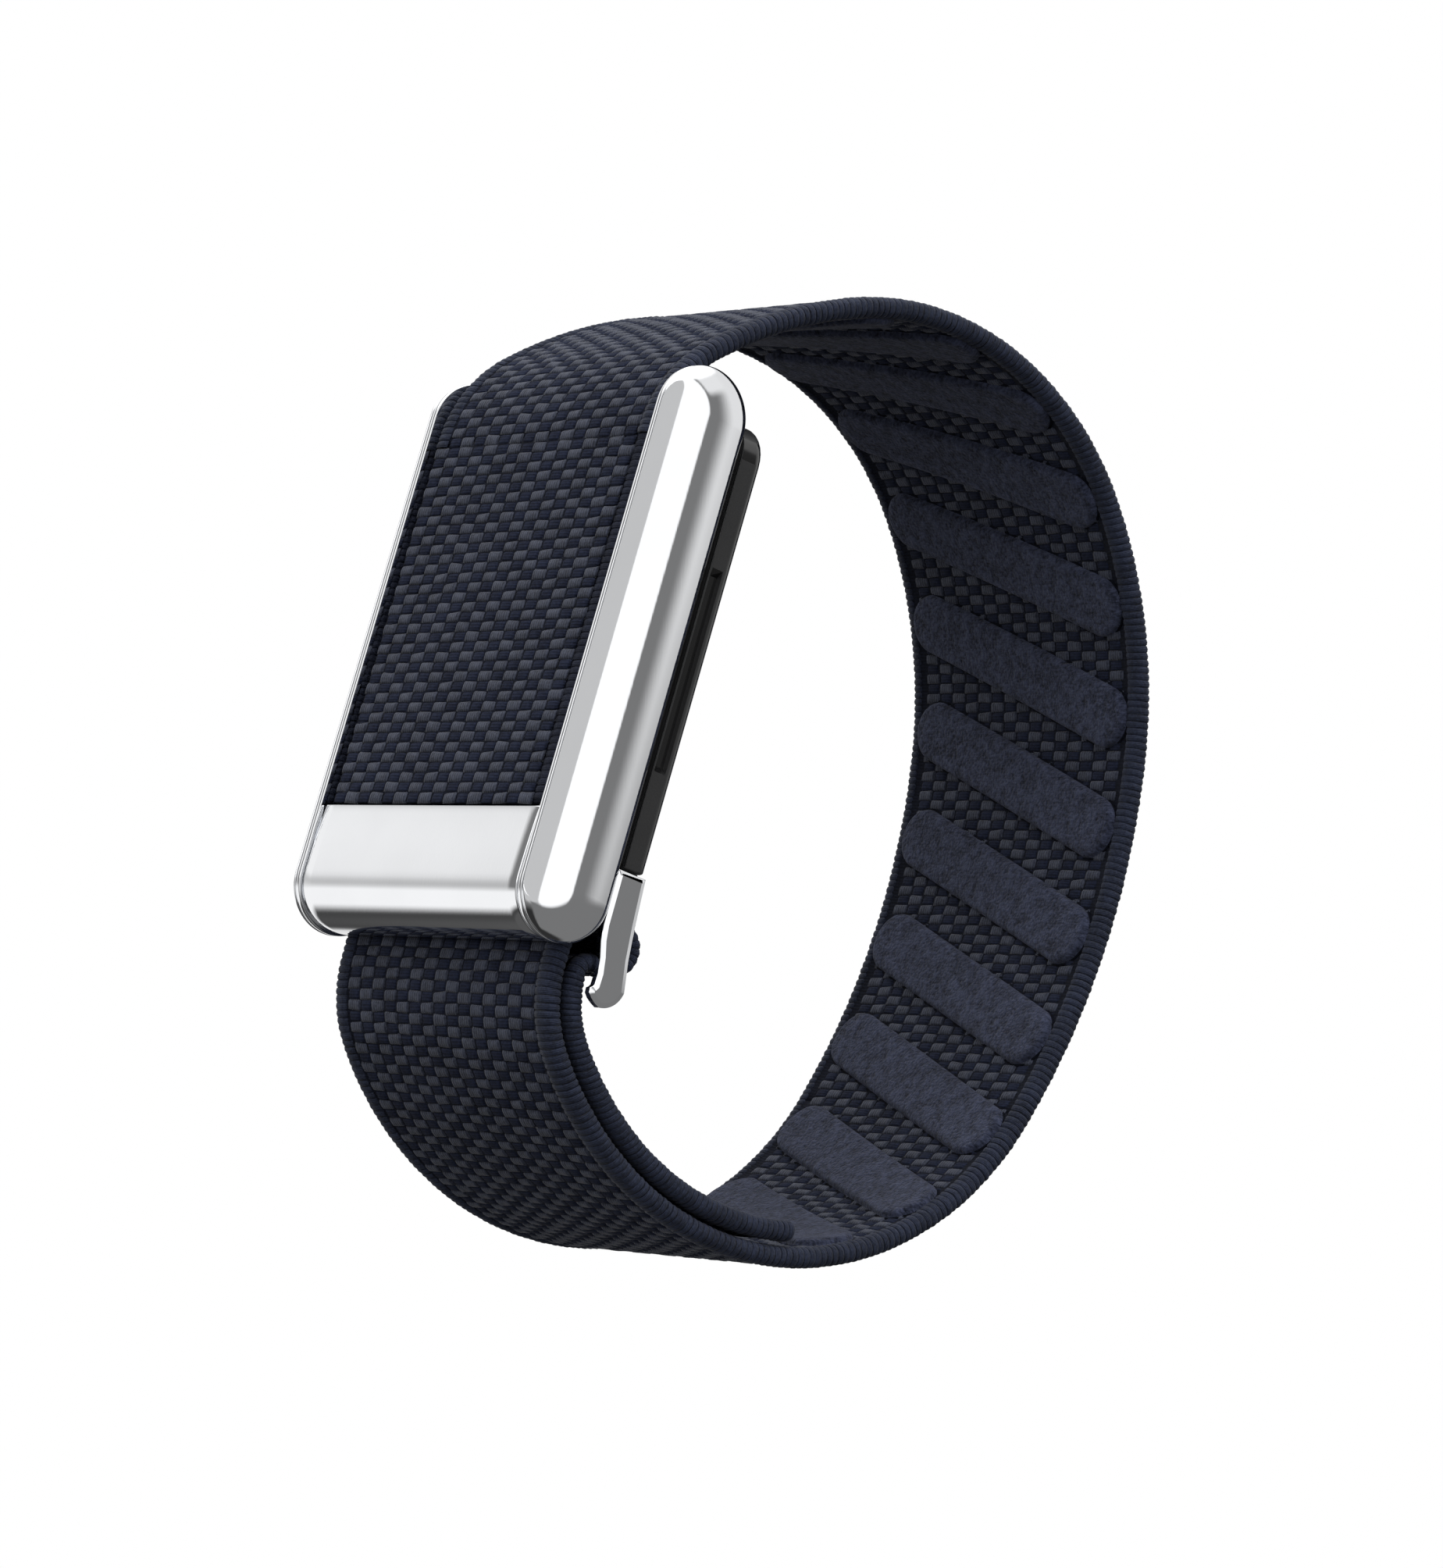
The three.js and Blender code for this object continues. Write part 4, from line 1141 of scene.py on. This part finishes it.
    def checkers(self, span: Span, face: Face, seed: int) -> Object:
        """Grows the cells of one face of a length."""
        first, rows = span.steps(self.row_height)
        mesh = self.cells.grow(
            {
                "Columns": self.columns + span.flat_edge,
                "Rows": rows,
                "Cell Width": self.cell_width,
                "Row Height": self.row_height,
                "First Row": first % 2,
                "Looseness": self.looseness,
                "Seed": seed,
                "Raised": self.forms["raised"],
                "Raised Finish": RAISED_YARN.material(),
                "Sunk": self.forms["sunk"],
                "Sunk Finish": SUNK_YARN.material(),
            }
        )
        middle = (first + (rows - 1) / 2) * self.row_height
        move = (span.flat_edge * self.flat_shift, self.ground)
        return self.dress(mesh, middle, span, (face.value, face.value), move)

    def ribs(self, span: Span, seed: int) -> Object:
        """Grows the threads that wrap both edges of a length."""
        first, count = span.steps(self.edge_pitch)
        # The front panel's flat edges take the darker yarn, a painted shade under the cheeks' rims.
        finish = SHADED_SELVEDGE_YARN if span.flat_edge else EDGE_YARN
        mesh = self.edges.grow(
            {
                "Count": count,
                "Pitch": self.edge_pitch,
                "Seed": seed,
                "Rib": self.forms["rib"],
                "Rib Finish": finish.material(),
            }
        )
        middle = (first + (count - 1) / 2) * self.edge_pitch
        press = self.flat_edge if span.flat_edge else 1.0
        return self.dress(mesh, middle, span, (1.0, press), (0.0, 0.0))

    def length(self, name: str, span: Span) -> Object:
        """Makes one length of strap from its cloth, its cells and its edges."""
        seed = int(abs(span.start) * 10) + 3
        parts = [self.cloth(span)]
        parts += [self.checkers(span, face, seed + face.value) for face in Face]
        parts.append(self.ribs(span, seed + 5))
        return joined(name, parts)

    def clear(self) -> None:
        """Removes the forms that the growers repeated."""
        for form in self.forms.values():
            bpy.data.objects.remove(form)


@dataclass
class Strap:
    """The strap's lengths, its sewn tail end and its grip pads."""

    plan: StrapPlan
    knit: Knit
    frame: ClaspFrame
    pad_count: int = 12
    pad_width: float = 4.2
    pad_length: float = 22.4
    pad_skew: float = 6.6
    pad_start: float = 18.2
    pad_end_gap: float = 8.1
    pad_profile: tuple[Pair, ...] = (
        (-0.16, 0.0), (-0.14, 0.08), (0.0, 0.1), (0.03, 0.28), (0.12, 0.44), (0.3, 0.53),
        (0.6, 0.56), (1.1, 0.58), (1.6, 0.59), (2.0, 0.59),
    )
    pad_sink: float = 0.02
    tail_room: float = 0.1

    def spans(self) -> dict[str, Span]:
        """Returns the lengths that ride on the band, by the nodes that they stand for."""
        path, plan = self.knit.path, self.plan
        crown_end, shoulder_end, back_end, base_end, rise_end = path.marks[[3, 4, 6, 7, 8]]
        middle = (back_end + base_end) / 2
        inside = -plan.tail_shift
        patch = plan.tail_end + plan.tail_patch
        return {
            "strap_crown": Span(plan.hinge_span, crown_end),
            "strap_shoulder": Span(crown_end, shoulder_end),
            "strap_back": Span(shoulder_end, back_end),
            "strap_base_rear": Span(back_end, middle),
            "strap_base_front": Span(middle, base_end),
            "strap_rise": Span(base_end, rise_end),
            "strap_hook_fold": Span(rise_end, path.end),
            "strap_tail_upper": Span(base_end, rise_end - self.tail_room, inside),
            "strap_tail_lower": Span(patch, base_end, inside),
            "tail_end_binding": Span(plan.tail_end, patch, inside),
        }

    def build(self) -> list[Object]:
        """Builds every piece of the strap; each but the length over the hinge rides on its body."""
        front = Span(self.plan.panel_bottom - self.plan.panel_top, 0.0, flat_edge=True)
        panel = self.knit.length("front_panel_knit", front)
        bend = self.knit.length("hinge_span_knit", Span(0.0, self.plan.hinge_span))
        ends = self.knit.path.at(np.array([0.0, self.plan.hinge_span]), 0.0)
        first, last = (self.frame.point(0.0, *end) for end in ends)
        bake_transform(bend)
        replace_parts(bend, "strap_over_hinge")
        made = [stand_in(panel, Body.CLASP, "strap_front_panel"), bend]
        for node, span in self.spans().items():
            piece = self.knit.length(f"{node}_knit", span)
            made.append(stand_in(piece, Body.BAND, node))
        return made + [self.pad(k) for k in range(self.pad_count)]

    def pad(self, number: int) -> Object:
        """Makes one felt pad, a slanted stadium with a crowned top and a sunk seam round it, which
        carries painted shade.
        """
        pitch = (self.plan.tail_end - self.pad_end_gap - self.pad_start) / (self.pad_count - 1)
        middle = self.pad_start + pitch * number
        reach = self.pad_length - self.pad_width
        slant = math.atan2(self.pad_skew, reach)
        half = math.hypot(self.pad_skew, reach) / 2
        foot = self.knit.ground - self.pad_sink
        rings = []
        for draw_in, rise in self.pad_profile:
            ring = self.stadium(half, self.pad_width / 2 - draw_in)
            x = ring[:, 0] * math.cos(slant) - ring[:, 1] * math.sin(slant)
            along = middle + ring[:, 0] * math.sin(slant) + ring[:, 1] * math.cos(slant)
            rings.append(stack(x, along, -(foot + rise)))
        shell = loft(rings, FELT, cap=ladder)
        placed = Shell(self.knit.bent(shell.points), turned(shell.faces), FELT, shell.points)
        name = f"grip_pad_{number + 1:02d}"
        pad = placed.made(f"{name}_felt", self.frame)
        # The two lowest bands of faces, the sunk foot, take the darker felt as painted shade.
        pad.data.materials.append(FELT_FOOT_SHADE.material())
        for polygon in pad.data.polygons[: 2 * len(rings[0])]:
            polygon.material_index = 1
        stand_in(pad, Body.BAND, name)
        return pad

    @staticmethod
    def stadium(half: float, radius: float, round_steps: int = 14, side_steps: int = 30) -> Points:
        """Returns a stadium's outline whose points i and -1-i mirror each other."""
        offsets = (np.arange(round_steps) + 0.5) * 90 / round_steps
        upper = [(half + radius * math.cos(a), radius * math.sin(a)) for a in np.radians(offsets)]
        sides = np.linspace(half, -half, side_steps + 1)
        upper += [(x, radius) for x in sides[1:-1]]
        upper += [(-x, y) for x, y in upper[:round_steps][::-1]]
        return np.array(upper + [(x, -y) for x, y in upper[::-1]])


# ---- the clasp


@dataclass
class Clasp:
    """The polished clasp: two cheeks and the cover bar between them."""

    frame: ClaspFrame
    front: float = -21.3
    top: float = 21.4
    length: float = 38.0
    depth: float = 6.6
    inner_face: float = 12.55
    thickness: float = 1.85
    rim: float = 0.38
    groove: float = 0.13
    ease: float = 0.1
    facet_start: float = 0.95
    facet_foot: float = 1.2
    facets: tuple[Pair, ...] = ((0.335, 0.13), (0.66, 0.05))
    crown_reach: float = 3.3
    bar_half: float = 12.25
    bar_top: float = -8.75
    bar_wall: float = 1.0
    bar_recess: float = 0.1
    bar_bow: float = 0.16
    bar_ease: float = 0.12

    @property
    def radius(self) -> float:
        """The radius of the cheeks' round ends."""
        return self.depth / 2

    @property
    def hinge(self) -> Pair:
        """The y and z of the upper round end's middle, where the hinge is."""
        return self.front + self.radius, self.top - self.radius

    @property
    def lower_round(self) -> Pair:
        """The y and z of the lower round end's middle."""
        return self.front + self.radius, self.top - self.length + self.radius

    def outline(self, draw_in: float, round_steps: int = 22, side_steps: int = 46) -> Points:
        """Returns the cheek's (y, z) outline, drawn in, with point i mirrored by point -1-i."""
        radius = self.radius - draw_in
        middle = self.hinge[0]
        high, low = self.hinge[1], self.lower_round[1]
        angles = np.radians(90 + (np.arange(round_steps) + 0.5) * 90 / round_steps)
        reach = [(radius * math.cos(a), radius * math.sin(a)) for a in angles]
        front = [(middle + y, high + z) for y, z in reach]
        front += [(middle - radius, z) for z in np.linspace(high, low, side_steps + 1)]
        front += [(middle + y, low - z) for y, z in reach[::-1]]
        return np.array(front + [(2 * middle - y, z) for y, z in front[::-1]])

    def height(self, ring: Points, draw_in: float) -> Points:
        """Returns how far the cheek's outer surface stands from its inner face.

        Args:
            ring: The outline's (y, z) points.
            draw_in: How far the outline is drawn in.

        Returns:
            The lowest of a rounded crown and two facets on the front, softly joined.
        """
        foot = self.rim + self.groove + self.ease
        share = min(draw_in / self.crown_reach, 1)
        crown = foot + (self.thickness - foot) * (1 - (1 - share) ** 1.8) ** 0.6
        behind = ring[:, 0] - self.front - self.facet_start
        height = np.full(len(ring), crown)
        for slope, softness in self.facets:
            limit = self.facet_foot + slope * behind
            blend = np.clip(0.5 + 0.5 * (limit - height) / softness, 0, 1)
            height = limit * (1 - blend) + height * blend - softness * blend * (1 - blend)
        return height

    def cheek(self, side: Side) -> Object:
        """Makes one cheek: a thin frame plate, a fine groove and the faceted body."""
        rim, ledge = self.rim, self.rim + self.groove
        core = self.radius - self.ease
        profile: list[tuple[float, float | None]] = [
            (core, 0.0), (0.1, 0.0), (0.03, 0.02), (0.0, 0.07), (0.0, rim - 0.07),
            (0.03, rim - 0.02), (0.08, rim), (0.2, rim + 0.01), (0.22, rim + 0.05), (0.2, ledge),
            (0.08, ledge + 0.01), (0.03, ledge + 0.04), (0.0, ledge + self.ease),
        ]
        rounded = np.linspace(0.0, 1.0, 24)[1:] ** 1.5
        inward = np.concatenate((rounded, np.linspace(1.0, core, 34)[1:]))
        profile += [(float(depth), None) for depth in inward]
        rings = []
        for draw_in, rise in profile:
            ring = self.outline(draw_in)
            height = self.height(ring, draw_in) if rise is None else np.full(len(ring), rise)
            rings.append(np.column_stack((self.inner_face + height, ring)))
        shell = loft(rings, CHROME, cap=ladder)
        if side is Side.LEFT:
            shell = shell.flipped()
        node = f"cheek_{side.name.lower()}"
        return stand_in(shell.made(f"{node}_polished", self.frame), Body.CLASP, node)

    def cover(self) -> Object:
        """Makes the cover bar, a bent plate with eased edges that wraps the clasp's foot."""
        y, z = self.lower_round
        outer = self.radius - self.bar_recess
        inner = outer - self.bar_wall
        front = y - outer
        ease = self.bar_ease
        points = arc((front + self.bar_bow + ease, self.bar_top - ease), ease, 90, 180, 5)
        levels = np.linspace(self.bar_top - ease, z, 20)[1:-1]
        shares = (levels - z) / (self.bar_top - z)
        points += [(front + self.bar_bow * share**2, level) for share, level in zip(shares, levels)]
        points += arc((y, z), outer, 180, 285, 40)
        points += arc((y, z), inner, 285, 180, 30)
        points += [(front + self.bar_wall, self.bar_top)]
        half = self.bar_half
        stations = [(-half, 0.1), (-half + 0.03, 0.03), (-half + 0.1, 0.0)]
        stations += [(x, 0.0) for x in np.linspace(-half + 1, half - 1, 9)]
        stations += [(-x, depth) for x, depth in stations[:3][::-1]]
        shell = across_band(np.array(points), stations, CHROME)
        piece = shell.made("cover_bar_polished", self.frame)
        return stand_in(piece, Body.CLASP, "cover_bar")

    def build(self) -> list[Object]:
        """Builds the clasp's polished pieces."""
        return [self.cheek(Side.LEFT), self.cheek(Side.RIGHT), self.cover()]


# ---- the hook


@dataclass
class Hook:
    """The hook under the pod: a cross wall and the two arms that carry the bar."""

    frame: ClaspFrame
    back: float = -12.35
    depth: float = 2.15
    top: float = -10.74
    bottom: float = -19.35
    inner: float = 12.37
    thickness: float = 0.65
    chamfer: Pair = (0.12, 0.32)
    wall_top: float = -12.5
    wall: float = 0.5
    wall_front: float = -19.05
    wall_back: float = -12.8
    foot_radius: float = 1.75
    neck: tuple[Pair, ...] = (
        (0.03, -3.6), (0.16, -4.6), (0.45, -5.6), (0.62, -6.6), (0.6, -7.35), (0.5, -7.5),
        (0.34, -7.62), (0.36, -7.95), (0.62, -8.22), (0.95, -8.42),
    )
    sharp_from: float = 16.0

    def arm_outline(self) -> Points:
        """Returns an arm's (y, z) outline: a bar that sweeps down to a rounded foot and a toe."""
        front = self.back - self.depth
        crest = self.top + 0.05
        points: list[Pair] = [(self.back, self.top), (self.back - 0.02, crest)]
        points += [(front + 0.06, crest), (front, self.top)]
        points += [(front + y, self.top + z) for y, z in self.neck]
        centre = (self.back - 0.95, self.bottom + self.foot_radius)
        points += arc(centre, self.foot_radius, 275, 350, 12)
        points += [(self.back + 0.42, self.top - 5.2), (self.back + 0.2, self.top - 3.0)]
        return np.array(points)

    def build(self) -> list[Object]:
        """Builds the bracket as one piece of three closed forms."""
        outline = self.arm_outline()
        fall, reach = self.chamfer
        outer = self.inner + self.thickness
        stations = [(self.inner, 0.06), (self.inner + 0.06, 0.0), (outer - fall - 0.02, 0.0)]
        stations += [(outer - fall, 0.02), (outer, reach)]
        right = across_band(outline, stations, CHROME)
        span = [(float(x), 0.0) for x in np.linspace(-self.inner, self.inner, 9)]
        front, back, top = self.wall_front, self.wall_back, self.wall_top
        box = [(front, top - self.wall), (back, top - self.wall), (back, top), (front, top)]
        wall = across_band(np.array(box), span, CHROME)
        parts = [form.made("bracket", self.frame) for form in (wall, right, right.flipped())]
        piece = joined("hook_bracket_polished", parts)
        piece.data.set_sharp_from_angle(angle=math.radians(self.sharp_from))
        return [stand_in(piece, Body.BAND, "hook_bracket")]


# ---- the pod


@dataclass
class Pod:
    """The pod's two case halves and its sensor window."""

    frame: ClaspFrame
    half_width: float = 12.95
    narrow_half: float = 12.1
    top: float = 19.4
    shoulder: float = -10.6
    bottom: float = -12.2
    back: float = -12.4
    rear_front: float = -14.2
    corner: float = 2.6
    front_top: float = 16.35
    front_back: float = -14.35
    front_face: float = -18.15
    groove: Pair = (-4.0, 9.5)
    groove_depth: float = 0.4
    window: float = 15.0
    window_middle: float = 4.0
    window_back: float = -10.8
    window_gap: float = 0.15
    side_steps: int = 60
    edge_round: float = 0.7
    groove_levels: tuple[Pair, ...] = ((-13.15, 0), (-13.2, 1), (-14.0, 1), (-14.05, 0))
    dome: tuple[Pair, ...] = (
        (0.05, 0.75), (0.2, 0.5), (0.5, 0.27), (1.1, 0.13), (2.2, 0.05), (4.0, 0.0),
    )
    sharp_from: float = 40.0

    def rear_case(self) -> Object:
        """Makes the rear case, open for the window and grooved along both sides."""
        back, front, curve = self.back, self.rear_front, self.edge_round
        outer = RoundedRect(
            self.half_width, self.shoulder, self.top, self.corner, side_steps=self.side_steps,
            low_radius=0.2,
        )
        half = self.window / 2 + self.window_gap
        low, high = self.window_middle - half, self.window_middle + half
        hole = RoundedRect(half, low, high, 2.0, side_steps=self.side_steps)
        rings = hole.rings((front + 0.9, 0.0), (back - 0.15, 0.0), (back, -0.12))
        rings += outer.rings((back, 3.0), (back, 1.4), (back, 0.9))
        for angle in np.radians(np.linspace(80, 0, 7)):
            drop, draw_in = curve * (1 - math.sin(angle)), curve * (1 - math.cos(angle))
            rings.append(outer.ring(back - drop, draw_in))
        rings += [self.grooved(outer.ring(y), share) for y, share in self.groove_levels]
        rings += outer.rings((front + 0.06, 0.0), (front, 0.1), (front, 6.0))
        shell = loft(rings[::-1], POD_SATIN)
        parts = [shell.made("rear", self.frame), self.tongue().made("tongue", self.frame)]
        piece = joined("pod_rear_case_moulded", parts)
        piece.data.materials.append(POD_GLOSS.material())
        gloss = len(piece.data.materials) - 1
        edge = (self.half_width - 0.01) * MILLIMETRE
        floor = (self.half_width - self.groove_depth - 0.01) * MILLIMETRE
        for polygon in piece.data.polygons:
            if floor < abs(polygon.center.x) < edge and abs(polygon.normal.x) > 0.5:
                polygon.material_index = gloss
        piece.data.set_sharp_from_angle(angle=math.radians(self.sharp_from))
        return stand_in(piece, Body.POD, "pod_rear_case")

    def grooved(self, ring: Points, share: float) -> Points:
        """Draws the two sides of a ring in where the groove runs."""
        drawn = ring.copy()
        low, high = self.groove
        beside = np.abs(ring[:, 0]) > self.half_width - 0.05
        within = beside & (ring[:, 2] > low) & (ring[:, 2] < high)
        drawn[within, 0] -= np.sign(drawn[within, 0]) * self.groove_depth * share
        return drawn

    def tongue(self) -> Shell:
        """Makes the narrow end that sits between the hook's arms."""
        foot = RoundedRect(self.narrow_half, self.bottom, self.shoulder + 0.5, 0.3, 4, 12)
        front, back = self.rear_front, self.back
        rings = foot.rings((front, 0.12), (front + 0.12, 0.0), (back - 0.25, 0.0))
        rings += foot.rings((back - 0.08, 0.06), (back, 0.25))
        return loft(rings, POD_SATIN)

    def front_case(self) -> Object:
        """Makes the front case that sits inside the clasp."""
        tray = RoundedRect(self.narrow_half, self.bottom, self.front_top, 1.2)
        face, back = self.front_face, self.front_back
        rings = tray.rings((face, 0.5), (face + 0.12, 0.15), (face + 0.4, 0.0))
        rings += tray.rings((back - 0.1, 0.0), (back, 0.1))
        piece = loft(rings, POD_SATIN).made("pod_front_case_moulded", self.frame)
        return stand_in(piece, Body.POD, "pod_front_case")

    def sensor_window(self) -> Object:
        """Makes the window as a low glass dome with a softly rolled edge."""
        half = self.window / 2
        low = self.window_middle - half
        pane = RoundedRect(half, low, low + self.window, 1.8)
        rings = pane.rings((self.back - 0.8, 0.1), (self.back - 0.7, 0.0), (self.back + 0.5, 0.0))
        rings += [pane.ring(self.window_back - drop, draw_in) for draw_in, drop in self.dome]
        piece = loft(rings, LENS).made("sensor_window_glass", self.frame)
        return stand_in(piece, Body.POD, "sensor_window")

    def build(self) -> list[Object]:
        """Builds the pod's shells."""
        return [self.rear_case(), self.front_case(), self.sensor_window()]


# ---- pieces kept from the frame


@dataclass(frozen=True)
class KeptPieces:
    """The frame's own nodes that stay, and the finish that each one gets."""

    finishes: tuple[tuple[Finish, tuple[str, ...]], ...] = (
        (CHROME, ("hook_bar",)),
        (STEEL, ("hinge_bracket", "hinge_pin", "carrier_plate", "latch_ledge", "latch_leaf")),
        (STEEL, ("tongue_clamp_strip",)),
        (RUBBER, ("hinge_bush_left", "hinge_bush_right", "case_seal", "light_barrier")),
        (BOARD, ("sensor_board", "main_board")),
        (EMITTER, ("green_led_top", "green_led_bottom", "infrared_led")),
        (EMITTER, ("photodiode_left", "photodiode_right")),
        (CHIP, ("processor",)),
        (CELL, ("battery_cell", "haptic_motor")),
        (GOLD, ("charge_contact_left", "charge_contact_right", "antenna_film")),
    )

    def dress(self, nodes: dict[str, Object]) -> None:
        """Gives each kept node its material."""
        for finish, names in self.finishes:
            for name in names:
                mesh = nodes[name].data
                mesh.materials.clear()
                mesh.materials.append(finish.material())


# ---- studio


@dataclass(frozen=True)
class Glow:
    """One soft-edged bright or dark area of the surround, in degrees as seen from the object."""

    azimuth: Pair
    elevation: Pair
    radiance: float
    blur: Pair = (5.0, 5.0)


@dataclass(frozen=True)
class Studio:
    """A surround of soft lights that only light the object, a pale floor and the camera."""

    azimuth: float = 54.06
    distance: float = 0.4507
    lens: float = 158.36
    sensor: float = 36.0
    target: tuple[float, float, float] = (0.0, -0.0008625, -0.0001964)
    ambient: float = 0.21
    below: float = 0.03
    surround: float = 2.5
    floor_level: float = -0.09
    shade: Pair = (-100.0, -34.0)
    shade_blur: float = 16.0
    glows: tuple[Glow, ...] = (
        Glow((-80.0, -14.0), (-10.0, 60.0), 0.62, (12.0, 12.0)),
        Glow((-8.0, 15.0), (-20.0, 50.0), 1.2, (6.0, 10.0)),
        Glow((-75.0, -38.0), (16.0, 50.0), 1.5, (6.0, 6.0)),
        Glow((68.0, 150.0), (-20.0, 70.0), 0.85, (25.0, 12.0)),
        Glow((30.0, 60.0), (28.0, 50.0), 0.9, (12.0, 8.0)),
        Glow((-35.0, 110.0), (-60.0, -14.0), 0.2, (15.0, 12.0)),
        Glow((-225.0, -150.0), (6.0, 60.0), 0.62, (14.0, 14.0)),
        Glow((-225.0, -156.0), (15.0, 21.0), 1.0, (14.0, 9.0)),
        Glow((-200.0, -120.0), (-20.0, -4.0), 1.05, (8.0, 10.0)),
        Glow((-200.0, -120.0), (-60.0, -36.0), 0.1, (8.0, 8.0)),
        Glow((-360.0, 360.0), (52.0, 100.0), 2.1, (8.0, 12.0)),
    )

    def camera(self) -> None:
        """Sets the camera level with the object, at its front right."""
        azimuth = math.radians(self.azimuth)
        away = Vector((math.sin(azimuth), -math.cos(azimuth), 0.0))
        lens = bpy.data.cameras.new("camera")
        lens.lens = self.lens
        lens.sensor_width = self.sensor
        lens.clip_start = 0.01
        lens.clip_end = 20.0
        camera = linked("camera", lens)
        camera.location = Vector(self.target) + away * self.distance
        camera.rotation_euler = away.to_track_quat("Z", "Y").to_euler()
        bpy.context.scene.camera = camera

    def backdrop(self) -> None:
        """Makes the white dome and floor that only the camera sees."""
        white = bpy.data.materials.new("studio_white")
        white.use_nodes = True
        white.node_tree.nodes.clear()
        sheet = NodeSheet(white.node_tree)
        glow = sheet.add("ShaderNodeEmission", {"Color": WHITE, "Strength": 1.0})
        sheet.add("ShaderNodeOutputMaterial", {"Surface": glow.outputs[0]})
        bpy.ops.mesh.primitive_uv_sphere_add(segments=48, ring_count=24, radius=self.surround)
        dome = bpy.context.object
        dome.name = "studio_dome"
        bpy.ops.mesh.primitive_circle_add(
            vertices=64, radius=self.surround, fill_type="NGON", location=(0, 0, self.floor_level)
        )
        floor = bpy.context.object
        floor.name = "studio_floor"
        for surface in (dome, floor):
            surface.data.materials.append(white)
            for ray in ("diffuse", "glossy", "transmission", "shadow"):
                setattr(surface, f"visible_{ray}", False)

    @staticmethod
    def window(sheet: NodeSheet, angle: Any, limits: Pair, blur: float, wraps: bool) -> Any:
        """Returns a socket that is 1 between two angles and fades to 0 over the blur outside.

        Args:
            sheet: The world's nodes.
            angle: The socket of the angle, in degrees.
            limits: The two angles.
            blur: The width of each fade.
            wraps: Whether the angle turns full circle.

        Returns:
            The socket of the fade.
        """
        middle = (limits[0] + limits[1]) / 2
        away = sheet.math("SUBTRACT", angle, middle)
        if wraps:
            away = sheet.math("WRAP", away, 180.0, -180.0)
        half = (limits[1] - limits[0]) / 2
        inputs = {"Value": sheet.math("ABSOLUTE", away), "From Min": half, "From Max": half + blur}
        inputs |= {"To Min": 1.0, "To Max": 0.0}
        fade = sheet.add("ShaderNodeMapRange", inputs, interpolation_type="SMOOTHSTEP")
        return fade.outputs["Result"]

    def world(self) -> None:
        """Paints the glows on the surround, each over the ones before it."""
        world = bpy.data.worlds.new("studio_world")
        world.use_nodes = True
        world.node_tree.nodes.clear()
        sheet = NodeSheet(world.node_tree)
        direction = sheet.add("ShaderNodeTexCoord").outputs["Generated"]
        x, y, z = sheet.add("ShaderNodeSeparateXYZ", {0: direction}).outputs
        around = sheet.math("DEGREES", sheet.math("ARCTAN2", y, x))
        above = sheet.math("DEGREES", sheet.math("ARCSINE", z))
        lower = self.window(sheet, above, self.shade, self.shade_blur, False)
        level = sheet.math("MULTIPLY_ADD", lower, self.below - self.ambient, self.ambient)
        for glow in self.glows:
            wide = self.window(sheet, around, glow.azimuth, glow.blur[0], True)
            high = self.window(sheet, above, glow.elevation, glow.blur[1], False)
            share = sheet.math("MULTIPLY", wide, high)
            gain = sheet.math("MULTIPLY", share, sheet.math("SUBTRACT", glow.radiance, level))
            level = sheet.math("ADD", level, gain)
        inputs = {"Color": WHITE, "Strength": level}
        background = sheet.add("ShaderNodeBackground", inputs)
        sheet.add("ShaderNodeOutputWorld", {"Surface": background.outputs[0]})
        bpy.context.scene.world = world
        bpy.context.scene.view_settings.view_transform = "Standard"

    def build(self) -> None:
        """Builds the camera, the surround and the backdrop."""
        self.camera()
        self.world()
        self.backdrop()


# ---- main


def main() -> None:
    """Builds the looks of the band round its frame."""
    logging.basicConfig(level=logging.INFO, format="%(message)s")
    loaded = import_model()
    Studio().build()
    clasp_sizes = Clasp(ClaspFrame(0.0, 0.0, 0.0))
    frame = ClaspFrame.from_joints(loaded["joints"], clasp_sizes.hinge)
    knit = Knit(StrapPlan(), frame)
    made = Strap(knit.plan, knit, frame).build()
    knit.clear()
    for assembly in (Clasp(frame), Hook(frame), Pod(frame)):
        made += assembly.build()
    KeptPieces().dress(loaded["nodes"])
    for piece in made:
        LOG.info("%s: %d faces", piece.name, len(piece.data.polygons))


if __name__ == "__main__":
    main()
